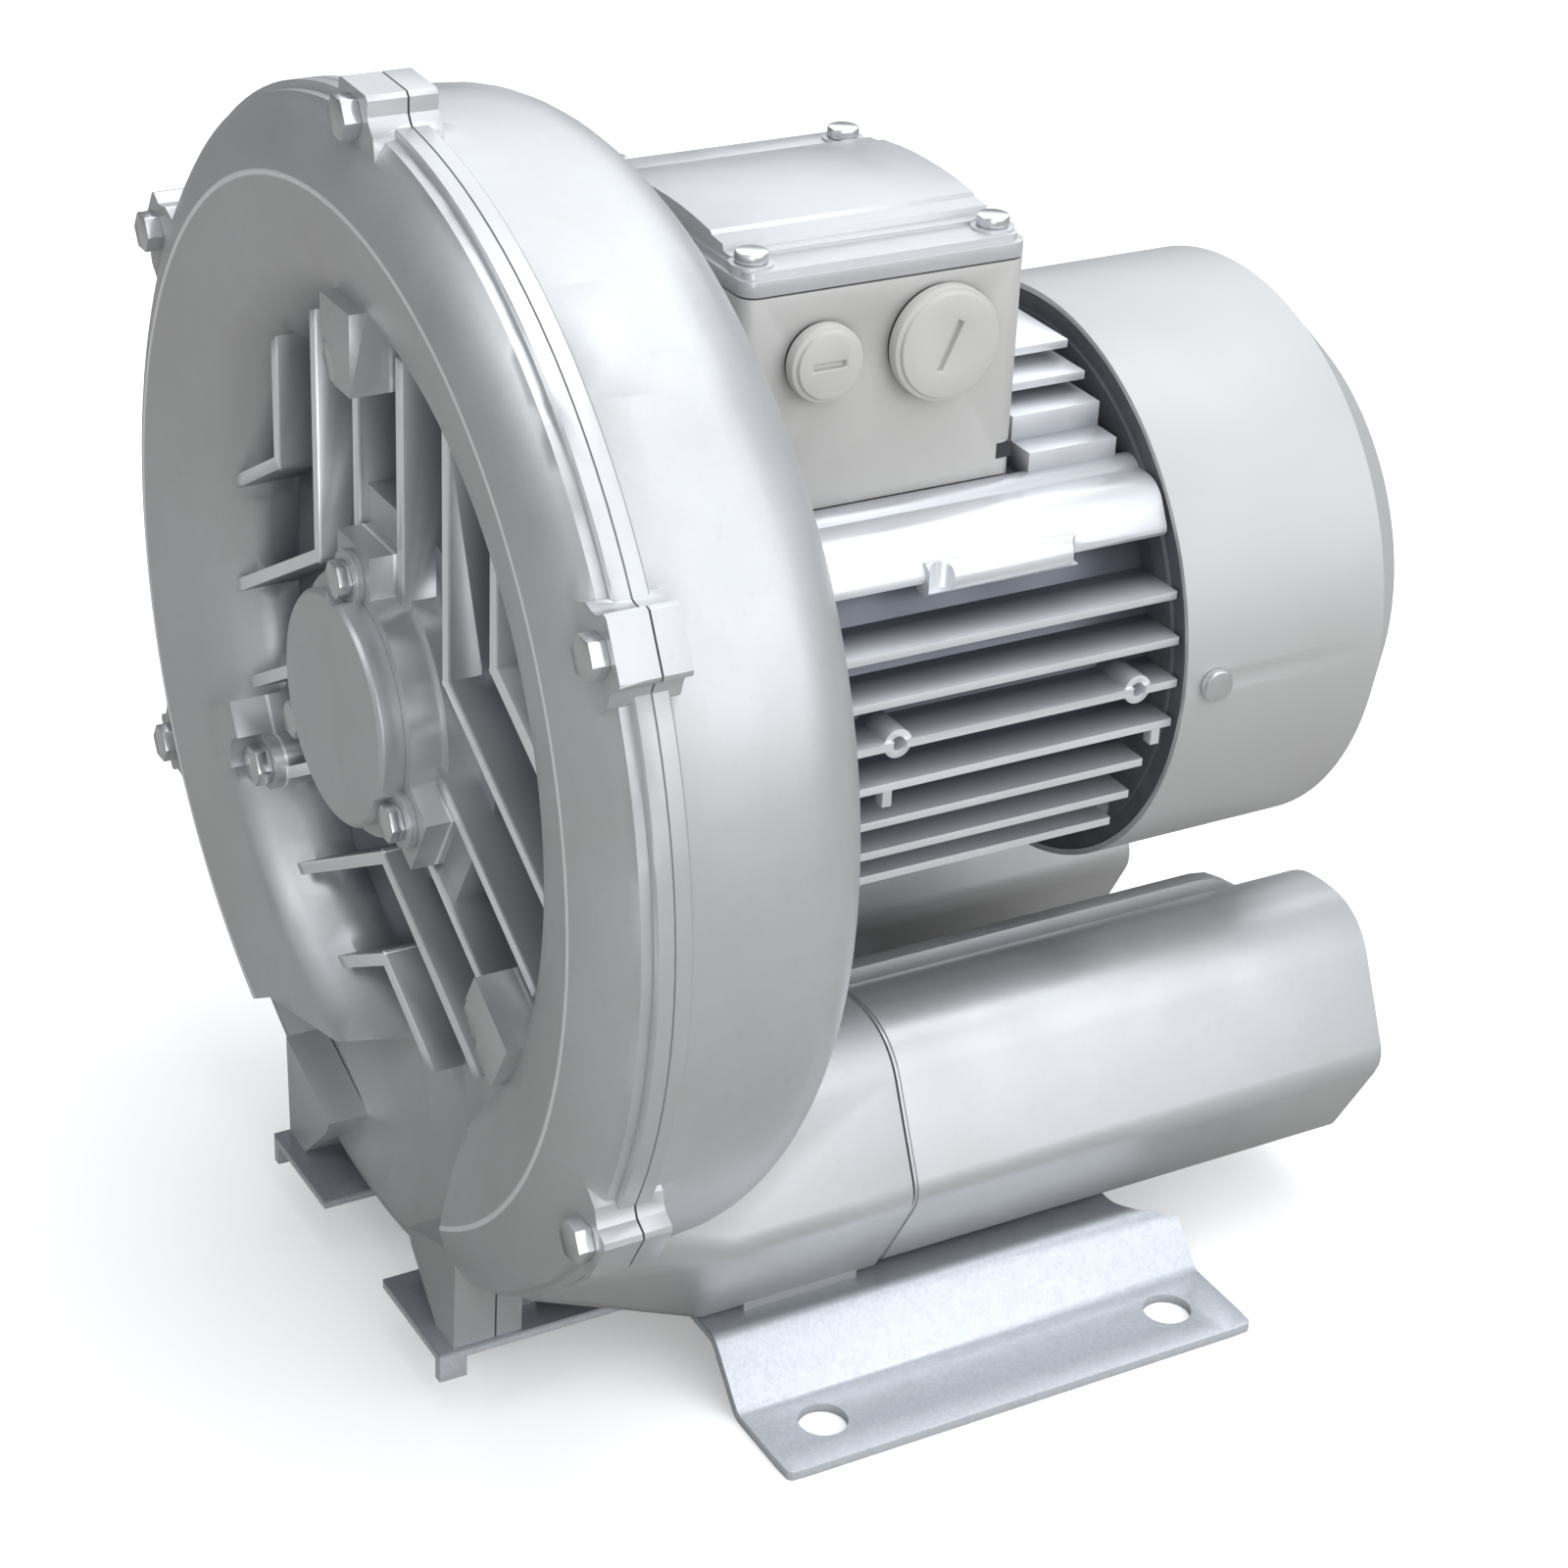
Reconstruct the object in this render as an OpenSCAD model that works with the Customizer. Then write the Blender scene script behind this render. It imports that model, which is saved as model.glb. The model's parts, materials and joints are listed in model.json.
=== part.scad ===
// Side-channel air blower: an electric motor turns a bladed wheel in a cast aluminium ring
// housing, and air goes in and out by two silencer tubes under the motor.
// The origin is the middle of the four foot holes, on the floor. +Z is up, the shaft runs
// along Y, and the round front cover faces -Y. All sizes are in millimetres.

/* [Ring housing] */
// Mean diameter of the side channel
channel_diameter = 230; // [226:1:234]
// Bore of the side channel
channel_bore = 34; // [32:1:35]
// Wall over the side channel
cast_wall = 5; // [4.5:0.5:6]
// Width of the flange outside the channel
flange_land = 7.5; // [7:0.5:9]
// Thickness of each half of the flange
flange_thickness = 4; // [3.5:0.5:4.5]
// Depth of the front cover from its crest to the flange joint
cover_depth = 14.5; // [14:0.5:15]
// Room between the flange and the feet
ring_clearance = 2.6; // [2:0.2:4]
// Thickness of the housing's back wall
back_wall = 7; // [6:0.5:9]
// Angle between the two ends of the channel in the housing
stripper_angle = 28; // [24:1:32]
// Thickness of the joint gasket
gasket_thickness = 0.5; // [0.3:0.1:1]
// Running gap between the impeller and the castings
running_gap = 0.4; // [0.3:0.1:0.6]

/* [Front cover] */
// How far the crest line lies outside the middle of the channel
crest_offset = 6; // [4:0.5:8]
// Width of the wall between the channel and the dish
dish_wall = 11; // [10:0.5:13]
// Depth of the dish floor behind the crest
dish_depth = 26; // [25:0.5:27]
// Thickness of the dish floor
dish_floor = 5; // [4:0.5:5.5]
// Distance between the dish ribs
rib_pitch = 24; // [22:0.5:26]
// Thickness of a dish rib
rib_thickness = 3; // [2:0.5:4]
// Height of a dish rib above the dish floor
rib_height = 14; // [12:0.5:14.5]
// Diameter of the step where the hub meets the dish
hub_diameter = 90; // [84:1:96]
// Diameter of the hub's neck
neck_diameter = 62; // [58:1:64]

/* [Bearings and shaft] */
// Outside diameter of the front bearing
front_bearing_od = 47; // [45:1:49]
// Bore of the front bearing
front_bearing_bore = 20; // [18:1:21]
// Width of the front bearing
front_bearing_width = 14; // [12:1:14]
// Outside diameter of the rear bearing
rear_bearing_od = 40; // [38:1:42]
// Bore of the rear bearing
rear_bearing_bore = 17; // [16:1:18]
// Width of the rear bearing
rear_bearing_width = 12; // [11:1:13]
// Diameter of the bearing cap
cap_diameter = 55.5; // [54:0.5:57]
// Diameter of the shaft at its main shoulder
shaft_diameter = 28; // [27:1:30]
// Diameter of the shaft in the impeller
impeller_seat = 22; // [21:0.5:24]

/* [Impeller] */
// Width of the impeller's rim
impeller_width = 23.2; // [22:0.4:24]
// Number of blades
blade_count = 40; // [30:2:46]
// Thickness of a blade
blade_thickness = 3; // [2:0.5:3.5]

/* [Motor] */
// Outside diameter of the motor frame's barrel
barrel_diameter = 114; // [112:1:116]
// Wall of the motor frame's barrel
barrel_wall = 4.5; // [4:0.5:6]
// Length of the motor frame
frame_length = 113.5; // [110:0.5:118]
// Diameter over the cooling fins
fin_diameter = 141; // [139:1:143]
// Distance between the cooling fins
fin_pitch = 10.6; // [9:0.2:12]
// Thickness of a cooling fin
fin_thickness = 2; // [1.6:0.2:2.6]
// Length of the laminated stator core
core_length = 62; // [50:1:66]
// Air gap between rotor and stator
air_gap = 0.4; // [0.3:0.1:0.6]

/* [Fan cover] */
// How far the fan cover stands out past the fins
fan_cover_rim = 2.5; // [2:0.25:4]
// Length of the fan cover
fan_cover_length = 72.5; // [71:0.5:80]
// Thickness of its sheet steel
fan_cover_sheet = 1.5; // [1:0.25:2]
// Width of one air slot in its back
slot_width = 5; // [4:0.5:6]

/* [Terminal box] */
// Width of the box across the motor
box_width = 82; // [80:1:88]
// Length of the box along the motor
box_length = 72.5; // [70:0.5:74]
// Height of the box's rim above the barrel
box_height = 43; // [41:0.5:45]
// Thickness of the box walls
box_wall = 3; // [2.5:0.5:4]
// Depth of the lid's skirt
lid_depth = 5; // [4:0.5:7]
// Height of the raised middle of the lid
lid_rise = 5; // [4:0.5:6]
// Diameter of the large blanking plug
large_plug_diameter = 27; // [25:1:28]
// Diameter of the small blanking plug
small_plug_diameter = 18; // [16:1:19]

/* [Silencer tubes] */
// Distance between the two tubes
tube_spacing = 114; // [112:1:120]
// Width of a tube
tube_width = 61; // [60:1:62]
// Height of a tube
tube_height = 66; // [65:1:67]
// Length of a tube from the housing's socket to its end
tube_length = 138.5; // [130:0.5:145]
// Bore of the tube round its liner
liner_bore = 47; // [46:1:48]
// Bore through the silencer liner
liner_hole = 36; // [32:1:38]
// Minor diameter of the port's pipe thread
port_bore = 44.85; // [44:0.05:46]
// Length of the port's thread
port_length = 22; // [18:1:26]

/* [Feet] */
// Distance between the foot holes across the blower
foot_spacing_x = 206; // [204:1:210]
// Distance between the foot holes along the blower
foot_spacing_y = 98; // [94:1:102]
// Diameter of a foot hole
foot_hole = 12; // [9:1:13]
// Thickness of the foot's sheet steel
foot_sheet = 2.5; // [2:0.25:3]
// Height of the raised part of the foot over the floor, to its top face
foot_rise = 16.4; // [14:0.2:17]

/* [Hidden] */

$fn = 96;
fit_gap = 0.2;
thread_gap = 0.1;
spin_gap = 0.3;

// Stations along the shaft, measured back from the crest of the front cover
crest_y = -127;
joint_y = cover_depth;
housing_y = joint_y + gasket_thickness;
front_channel_y = channel_bore / 2 + cast_wall;
impeller_front_y = front_channel_y + running_gap;
impeller_back_y = impeller_front_y + impeller_width;
rear_channel_y = impeller_back_y + running_gap;
channel_floor_y = rear_channel_y + channel_bore / 2;
back_y = channel_floor_y + back_wall;
frame_end_y = back_y + frame_length;
socket_y = back_y + 39;
tube_start_y = socket_y + gasket_thickness * 2;
tube_end_y = tube_start_y + tube_length;

// Radii of the ring housing
channel_r = channel_diameter / 2;
channel_c = channel_bore / 2;
channel_out_r = channel_r + channel_c;
channel_in_r = channel_r - channel_c;
flange_r = channel_out_r + flange_land;
crest_r = channel_r + crest_offset;
mouth_r = channel_in_r - 1;
dish_r = channel_in_r - dish_wall;
lip_r = dish_r + 2;
tip_r = channel_out_r - running_gap;
crown_radius = 88;
crown_lean = 7;
shoulder_radius = 40;
shoulder_lean = 13.5;
back_radius = 24;
back_center_r = channel_r - 4;
housing_floor_y = back_y - 8;
axis_height = foot_rise + ring_clearance + flange_r;
pad_front_y = 4;

// The ring of the front cover stops on these two lines beside the ports, given as shares of
// the channel's mean radius
ring_end_right = channel_r * [[0.61, -0.5], [0.53, -0.69], [0.51, -0.87], [0.49, -1.08], [0.43, -1.4]];
ring_end_left = channel_r * [[-0.87, -1.4], [-0.6, -1.01], [-0.41, -0.9], [-0.13, -0.86], [0.21, -0.7]];
cover_channel_from = -54;
cover_channel_sweep = 284;
low_rim_y = joint_y - flange_thickness;
low_lip_y = 19.5;
low_crease_y = 17.5;

// Hub and bearing cap
hub_face_y = 6;
hub_step_y = 20;
spring_y = hub_face_y + 2;
front_bearing_y = spring_y + 2;
bearing_stop_y = front_bearing_y + front_bearing_width;
dish_back_y = dish_depth + dish_floor;
hub_bore_r = front_bearing_od / 2 - 4.5;
cap_ear_r = 32;
sector_angles = [90, -30, 210];
hub_ear_r = 40;
hub_ear_width = 18;
hub_collar_y = 14;
gusset_r = 49;
// The plate of a boss points to the middle, and its bolt sits in a round recess at one corner
boss_plate_y = 2.5;
boss_plate_r = dish_r - 9;
boss_width = 16;
boss_bolt_r = dish_r - 6.5;
boss_bolt_angles = [96, -36, 216];
boss_face_y = 9;
boss_round = 7.5;

// Joint lugs and their bolts
lug_angles = [29, 88, 148, 209, 330];
lug_bolt_r = flange_r;
lug_width = 15;
lug_top_r = flange_r + 6.5;
lug_front_y = 5.5;
lug_back_y = 21.5;
lug_bolt_length = 15;

// Shaft line
journal_r = front_bearing_bore / 2;
sleeve_r = shaft_diameter / 2;
seal_r = sleeve_r + 8;
impeller_hub_y = dish_back_y + 2;
impeller_hub_end_y = back_y - 11;
rear_bearing_y = frame_end_y + 3;
rear_bearing_end_y = rear_bearing_y + rear_bearing_width;
fan_y = rear_bearing_end_y + 8;
shaft_start_y = front_bearing_y - 3;
shaft_end_y = fan_y + 31;
fan_seat_r = rear_bearing_bore / 2 - 1;
web_y = dish_back_y + 2.5;
web_thickness = 6;

// Motor
barrel_r = barrel_diameter / 2;
barrel_bore_r = barrel_r - barrel_wall;
fin_r = fin_diameter / 2;
shoulder_base = 34;
bar_y = back_y + 48;
bar_end_y = back_y + 88;
core_y = back_y + 21;
core_end_y = core_y + core_length;
rotor_r = 35;
tie_bolt_r = barrel_r + 4.5;
tie_angles = [45, 135, 225, 315];
shield_thickness = 8;
shield_end_y = frame_end_y + shield_thickness;
fan_cover_y = frame_end_y + 1;
fan_cover_r = fin_r + fan_cover_rim;
fan_cover_end_y = fan_cover_y + fan_cover_length;
fan_r = fan_cover_r - 13;
shield_r = fan_cover_r - fan_cover_sheet - fit_gap;
cover_screw_angles = [0, 180, 270];
cover_screw_y = fan_cover_y + 8;
fan_cover_round = 16;

// Terminal box
box_y = back_y + 10;
box_end_y = box_y + box_length;
box_skirt = 46.5;
box_rim = barrel_r + box_height;
box_floor = barrel_r + 5;
lid_base = box_rim + gasket_thickness;
lid_face = lid_base + lid_depth;
lid_top = lid_face + lid_rise;
lid_seat = lid_face + 0.6;
large_plug_y = box_y + 49.6;
small_plug_y = box_y + 19;
terminal_y = box_y + 14;
terminal_width = 48;
terminal_depth = 18;
terminal_height = 9;
stud_pitch = 15;
plug_x = box_width / 2;
plug_level = box_rim - 15.5;
earth_x = 15 - box_width / 2;
earth_y = box_end_y - 16;

// Silencer tubes and feet
tube_x = tube_spacing / 2;
tube_base = foot_rise + 0.6;
tube_axis = tube_base + tube_height / 2;
air_way_r = liner_bore / 2 - 1;
liner_y = tube_start_y + 3;
liner_end_y = tube_end_y - port_length - 1;
foot_x = foot_spacing_x / 2;
foot_edge = foot_x + 14;
foot_bend = foot_x - 12;
foot_shoulder = foot_bend - 12.5;
foot_inner = 20;
foot_front_y = 0;
foot_round = 3;
// The feet reach forward by a tongue each, and the two tongues lie 7 mm off the middle
tongue_shift = 7;
tongue_inner = 18;
tongue_outer = 51;
foot_mid_y = -crest_y;
foot_start_y = foot_mid_y - foot_spacing_y / 2 - 17;
foot_end_y = foot_mid_y + foot_spacing_y / 2 + 16;
front_bolt_x = 33;
front_bolt_y = 21;
rear_bolt_y = 88;

cast_silver = [0.78, 0.79, 0.8];
shadow_silver = [0.66, 0.67, 0.69];
zinc = [0.7, 0.72, 0.75];
steel = [0.6, 0.62, 0.65];
box_grey = [0.76, 0.76, 0.74];
plug_grey = [0.82, 0.82, 0.8];
rubber_black = [0.12, 0.12, 0.13];
copper = [0.72, 0.42, 0.22];
brass = [0.8, 0.65, 0.3];

function arc(center, radius, from, to, steps, skip = 0) =
    [for (i = [skip:steps]) let (a = from + (to - from) * i / steps)
        [center[0] + radius * cos(a), center[1] + radius * sin(a)]];

function unit(v) = v / norm(v);

// The points of an arc that rounds off a corner between its two neighbours
function soft_corner(before, corner, after, radius, steps = 5) =
    let (a = unit(before - corner), b = unit(after - corner), half = acos(a * b) / 2,
         center = corner + unit(a + b) * radius / sin(half),
         first = corner + a * radius / tan(half) - center,
         start = atan2(first[1], first[0]),
         turn = (180 - 2 * half) * sign(cross(corner - before, after - corner)))
    arc(center, radius, start, start + turn, steps);

// Draws its children from the crest plane, with the floor at z = 0
module placed() {
    translate([0, crest_y, 0]) children();
}

// Stretches a front view, drawn round the shaft axis, between two stations
module along(from, to) {
    translate([0, to, axis_height]) rotate([90, 0, 0]) linear_extrude(to - from) children();
}

// The same with the height measured from the floor
module along_floor(from, to) {
    translate([0, to, 0]) rotate([90, 0, 0]) linear_extrude(to - from) children();
}

// Turns a profile of radius and station round the shaft axis
module turned(from = 0, sweep = 360) {
    translate([0, 0, axis_height]) rotate([-90, 0, 0]) mirror([0, 1, 0]) rotate([0, 0, from])
        rotate_extrude(angle = sweep) children();
}

// A ring between two radii and two stations
module ring(inner, outer, from, to) {
    turned() translate([inner, from]) square([outer - inner, to - from]);
}

module disc(radius, from, to) {
    along(from, to) circle(radius);
}

module spread(angles, radius) {
    for (a = angles) rotate(a) translate([radius, 0]) children();
}

module twin() {
    children();
    mirror([1, 0, 0]) children();
}

// A hexagon bolt whose head points to -Y, with its head seated on the station given
module bolt(x, z, seat, shank, length, head) {
    translate([x, 0, z]) {
        translate([0, seat, 0]) rotate([90, 0, 0]) cylinder(r = head, h = shank * 1.3, $fn = 6);
        translate([0, seat + length, 0]) rotate([90, 0, 0]) cylinder(r = shank, h = length + 0.01);
    }
}

// A bolt at a polar place round the shaft axis
module polar_bolt(angle, radius, seat, shank, length, head) {
    bolt(radius * cos(angle), axis_height + radius * sin(angle), seat, shank, length, head);
}

module bolt_hole(angle, radius, from, to, hole) {
    along(from, to) rotate(angle) translate([radius, 0]) circle(hole);
}

// The ring, the sealing land and the wall of the dish, as radius and station
module cover_profile() {
    flange_face = joint_y - flange_thickness;
    crown_center = [crest_r + crown_radius * sin(crown_lean), crown_radius * cos(crown_lean)];
    crown_start = acos((crown_center[0] - mouth_r) / crown_radius) - 180;
    shoulder_center = [crest_r - shoulder_radius * sin(shoulder_lean), shoulder_radius * cos(shoulder_lean)];
    shoulder_end = -acos((flange_r - 2.1 - shoulder_center[0]) / shoulder_radius);
    polygon(concat(
        [[dish_r - 6, dish_depth + 1], [dish_r - 1, dish_depth + 1], [dish_r, dish_depth - 5],
         [lip_r, dish_depth - 9]],
        arc(crown_center, crown_radius, crown_start, -90 - crown_lean, 6),
        arc(shoulder_center, shoulder_radius, -90 + shoulder_lean, shoulder_end, 8, 1),
        [[flange_r - 1.8, flange_face], [flange_r - 0.6, flange_face], [flange_r, flange_face + 0.6],
         [flange_r, joint_y], [channel_out_r - fit_gap, joint_y],
         [channel_out_r - fit_gap, front_channel_y], [lip_r, front_channel_y], [lip_r, dish_back_y],
         [dish_r - 6, dish_back_y]]
    ));
}

// The lower face between the two ends of the ring
module low_profile() {
    polygon([
        [dish_r - 6, dish_depth + 1], [dish_r - 1, dish_depth + 1], [dish_r, dish_depth - 4],
        [lip_r, low_lip_y], [channel_r - 3, low_crease_y], [channel_r + 9, low_crease_y - 2.7],
        [flange_r - 3, low_rim_y], [flange_r - 0.6, low_rim_y], [flange_r, low_rim_y + 0.6],
        [flange_r, joint_y], [channel_out_r - fit_gap, joint_y],
        [channel_out_r - fit_gap, front_channel_y], [lip_r, front_channel_y], [lip_r, dish_back_y],
        [dish_r - 6, dish_back_y]
    ]);
}

module ring_gap() {
    polygon(concat(ring_end_right, ring_end_left));
}

// The outline of one joint lug, pointing to the right, with hollow sides that meet the flange
module lug_outline() {
    half = lug_width / 2;
    polygon([
        [flange_r - 7, -half - 4], [flange_r - 1.5, -half - 3], [flange_r + 0.5, -half - 1],
        [flange_r + 2, -half], [lug_top_r - 1, -half], [lug_top_r, -half + 1], [lug_top_r, half - 1],
        [lug_top_r - 1, half], [flange_r + 2, half], [flange_r + 0.5, half + 1],
        [flange_r - 1.5, half + 3], [flange_r - 7, half + 4]
    ]);
}

// Three sectors of straight ribs between the hub and the wall of the dish, a little past their borders
module dish_ribs() {
    lap = 0.6;
    along(dish_depth - rib_height, dish_depth + 1) for (a = sector_angles) rotate(a - 90)
        intersection() {
            difference() {
                circle(lip_r);
                circle(neck_diameter / 2 - 1);
            }
            translate([0, -lap])
                polygon([[0, 0], [-dish_r * 2, dish_r * 2 * tan(30)], [-dish_r * 2, dish_r * 3],
                         [dish_r * 2, dish_r * 3], [dish_r * 2, dish_r * 2 * tan(30)]]);
            for (k = [-3:2]) translate([(k + 0.5) * rib_pitch - rib_thickness / 2, 0])
                square([rib_thickness, dish_r]);
        }
}

// Mirrors its children about the middle between the two tongues of the feet
module tongue_twin() {
    translate([tongue_shift, 0, 0]) twin() children();
}

// The gussets from the ring down to the feet, which taper towards their outer lower corner
module cover_pads(from, to) {
    along_floor(from, to) translate([tongue_shift, 0]) twin_flat() polygon([
        [tongue_outer - 11, foot_rise], [tongue_outer - 1, foot_rise], [tongue_outer, foot_rise + 28],
        [tongue_outer - 27, foot_rise + 18], [tongue_outer - 25, foot_rise + 14]
    ]);
}

module front_cover() {
    color(cast_silver) placed() difference() {
        union() {
            turned() low_profile();
            difference() {
                turned() cover_profile();
                along(-1, low_rim_y + 60) ring_gap();
            }
            ring(hub_bore_r, dish_r - 5, dish_depth, dish_back_y);
            ring(front_bearing_od / 2 - 8, hub_diameter / 2, hub_step_y, dish_depth + 1);
            disc(neck_diameter / 2, hub_face_y, hub_step_y + 1);
            disc(neck_diameter / 2 + 2, hub_collar_y, hub_step_y + 1);
            along(hub_face_y, hub_step_y + 1) spread(sector_angles, hub_ear_r - 14)
                translate([0, -hub_ear_width / 2]) square([14, hub_ear_width]);
            // A raised floor between the two middle ribs of each sector
            along(dish_depth - rib_height + 2, dish_depth + 1) spread(sector_angles, neck_diameter / 2 - 5)
                translate([0, -rib_pitch / 2]) square([gusset_r - neck_diameter / 2 + 5, rib_pitch]);
            along(boss_face_y, dish_depth + 1) spread(boss_bolt_angles, boss_bolt_r) circle(boss_round - 0.7);
            along(boss_plate_y, front_channel_y - 1) spread(sector_angles, boss_plate_r)
                translate([0, -boss_width / 2]) square([channel_in_r - 1 - boss_plate_r, boss_width]);
            along(front_channel_y - 2, dish_depth + 1) spread(sector_angles, boss_plate_r)
                translate([0, -boss_width / 2]) square([dish_r - 1 - boss_plate_r, boss_width]);
            dish_ribs();
            for (a = lug_angles) along(lug_front_y, joint_y) rotate(a) lug_outline();
            cover_pads(pad_front_y, joint_y);
        }
        // The front half of the side channel
        turned(cover_channel_from, cover_channel_sweep) {
            translate([channel_r, front_channel_y]) circle(channel_c);
            translate([channel_r, joint_y - gasket_thickness]) square([channel_c + 1, front_channel_y]);
        }
        disc(front_bearing_od / 2, hub_face_y - 1, bearing_stop_y);
        disc(hub_bore_r, hub_face_y, dish_back_y + 1);
        for (a = lug_angles) bolt_hole(a, lug_bolt_r, 0, joint_y + 1, 3.2);
        for (a = sector_angles) bolt_hole(a, cap_ear_r, hub_face_y - 1, hub_face_y + 12, 2.5 + thread_gap);
        along(boss_plate_y - 1, boss_face_y) spread(boss_bolt_angles, boss_bolt_r) circle(boss_round);
        for (a = boss_bolt_angles) bolt_hole(a, boss_bolt_r, boss_face_y - 1, boss_face_y + 14, 3 + thread_gap);
    }
}

module bearing_cap() {
    color(cast_silver) placed() difference() {
        union() {
            turned() polygon([[0, 0], [cap_diameter / 2 - 1, 0], [cap_diameter / 2, 1],
                              [cap_diameter / 2, hub_face_y], [0, hub_face_y]]);
            along(hub_face_y - 2, hub_face_y) spread(sector_angles, cap_ear_r) circle(6.5);
            disc(front_bearing_od / 2 - fit_gap, hub_face_y - 1, spring_y);
        }
        disc(17, 3, spring_y + 1);
        for (a = sector_angles) bolt_hole(a, cap_ear_r, -1, hub_face_y - 2, 5.6);
        for (a = sector_angles) bolt_hole(a, cap_ear_r, 0, hub_face_y + 1, 2.8);
    }
}

module bearing_cap_screws() {
    color(zinc) placed() for (a = sector_angles) polar_bolt(a, cap_ear_r, hub_face_y - 2, 2.5, 13, 4.6);
}

module boss_bolts() {
    color(zinc) placed() for (a = boss_bolt_angles) polar_bolt(a, boss_bolt_r, boss_face_y, 3, 13, 5.4);
}

module joint_gasket() {
    color(rubber_black) placed() difference() {
        ring(channel_out_r, flange_r - 0.5, joint_y, housing_y);
        for (a = lug_angles) bolt_hole(a, lug_bolt_r, joint_y - 1, housing_y + 1, 3.4);
    }
}

module joint_bolts() {
    color(zinc) placed() for (a = lug_angles) polar_bolt(a, lug_bolt_r, lug_front_y, 3, lug_bolt_length, 5);
}

// A tube's section: a six-sided form with a narrow base, its widest edge below the middle and a
// broad round top
module tube_section(grow = 0) {
    w = tube_width / 2 + grow;
    h = tube_height / 2 + grow;
    base = [w * 0.5, -h];
    waist = [w * 1.03, -h * 0.12];
    brow = [w * 0.46, h];
    twin_flat() polygon(concat(
        [[0, -h]],
        soft_corner([0, -h], base, waist, 5, 4),
        soft_corner(base, waist, brow, 9, 5),
        soft_corner(waist, brow, [0, h], 18, 7),
        [[0, h]]
    ));
}

// Places its children at the four bolts that hold the feet
module at_foot_bolts() {
    tongue_twin() translate([front_bolt_x, front_bolt_y, 0]) children();
    twin() translate([tube_x, rear_bolt_y, 0]) children();
}

module housing_profile() {
    polygon(concat(
        [[channel_out_r, housing_y], [flange_r, housing_y], [flange_r, housing_y + flange_thickness - 0.6],
         [flange_r - 0.6, housing_y + flange_thickness], [flange_r - 2.2, housing_y + flange_thickness + 0.5]],
        arc([back_center_r, back_y - back_radius], back_radius, 0, 90, 10),
        [[sleeve_r + 1, back_y], [sleeve_r + 1, housing_floor_y], [channel_in_r - 6, housing_floor_y],
         [channel_in_r - 6, rear_channel_y], [channel_out_r, rear_channel_y]]
    ));
}

// The cast sockets that carry the air from the ring to the tubes
module socket_body() {
    translate([tube_x, 0, tube_axis]) {
        along_floor(back_y - 8, socket_y - 0.8) tube_section(0.8);
        along_floor(socket_y - 0.9, socket_y) tube_section(0.2);
    }
    hull() {
        along(housing_y + 5, housing_y + 6) translate([tube_x - 3, tube_axis - axis_height - 3])
            circle(20, $fn = 32);
        translate([tube_x, 0, tube_axis]) along_floor(back_y - 9, back_y - 7) tube_section(0.8);
    }
}

module blower_housing() {
    color(cast_silver) placed() difference() {
        union() {
            turned() housing_profile();
            for (a = lug_angles) along(housing_y, lug_back_y) rotate(a) lug_outline();
            cover_pads(housing_y, lug_back_y);
            // The front bolt of each foot has a narrow pad of its own
            along_floor(housing_y, front_bolt_y + 8) translate([tongue_shift, foot_rise]) twin_flat()
                translate([front_bolt_x - 9, 0]) square([18, 22]);
            twin() socket_body();
            // Pads under the sockets that stand on the feet
            along_floor(back_y + 2, socket_y - 6) twin() translate([tube_x - 17, foot_rise])
                square([34, 12]);
            ring(barrel_bore_r - 8, barrel_bore_r - fit_gap, back_y - 1, back_y + 3);
        }
        turned(stripper_angle / 2 - 90, 360 - stripper_angle)
            translate([channel_r, rear_channel_y]) circle(channel_c);
        along_floor(rear_channel_y + 7, socket_y + 1) twin() translate([tube_x, tube_axis])
            circle(air_way_r);
        // Whatever a socket would put into the impeller's space is cut away again
        disc(channel_out_r, housing_y, rear_channel_y);
        disc(channel_in_r - 6, rear_channel_y - 1, housing_floor_y);
        disc(seal_r, housing_floor_y - 1, back_y - 2);
        // The collars stop on the feet
        translate([-flange_r, 0, 0]) cube([2 * flange_r, socket_y, foot_rise]);
        for (a = lug_angles) bolt_hole(a, lug_bolt_r, housing_y - 1, lug_back_y + 1, 3 + thread_gap);
        for (a = tie_angles) bolt_hole(a, tie_bolt_r, back_y - 6, back_y + 1, 2.5 + thread_gap);
        at_foot_bolts() translate([0, 0, foot_rise - 1]) cylinder(r = 3 + thread_gap, h = 11);
    }
}

module cover_seal_ring() {
    color(rubber_black) placed() ring(sleeve_r + spin_gap, hub_bore_r, bearing_stop_y + 1, dish_back_y);
}

module housing_seal_ring() {
    color(rubber_black) placed() ring(sleeve_r + spin_gap, seal_r, housing_floor_y, back_y - 2);
}

// A bearing's outer ring with its two shields
module outer_ring(bore, od, from, width) {
    land = (od / 2 + bore / 2) / 2;
    turned() polygon([
        [bore / 2 + 3.2, from + 0.4], [od / 2, from + 0.4], [od / 2, from + width - 0.4],
        [bore / 2 + 3.2, from + width - 0.4], [bore / 2 + 3.2, from + width - 1.2],
        [land + 3, from + width - 1.2], [land + 3, from + 1.2], [bore / 2 + 3.2, from + 1.2]
    ]);
}

// A bearing's inner ring with its ball groove
module inner_ring(bore, od, from, width) {
    land = (od / 2 + bore / 2) / 2;
    difference() {
        ring(bore / 2, bore / 2 + 3.2 - spin_gap, from, from + width);
        turned() translate([land, from + width / 2]) circle(land - bore / 2 - 1.8);
    }
}

module front_bearing_outer_ring() {
    color(steel) placed()
        outer_ring(front_bearing_bore, front_bearing_od, front_bearing_y, front_bearing_width);
}

module front_bearing_inner_ring() {
    color(steel) placed()
        inner_ring(front_bearing_bore, front_bearing_od, front_bearing_y, front_bearing_width);
}

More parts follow.
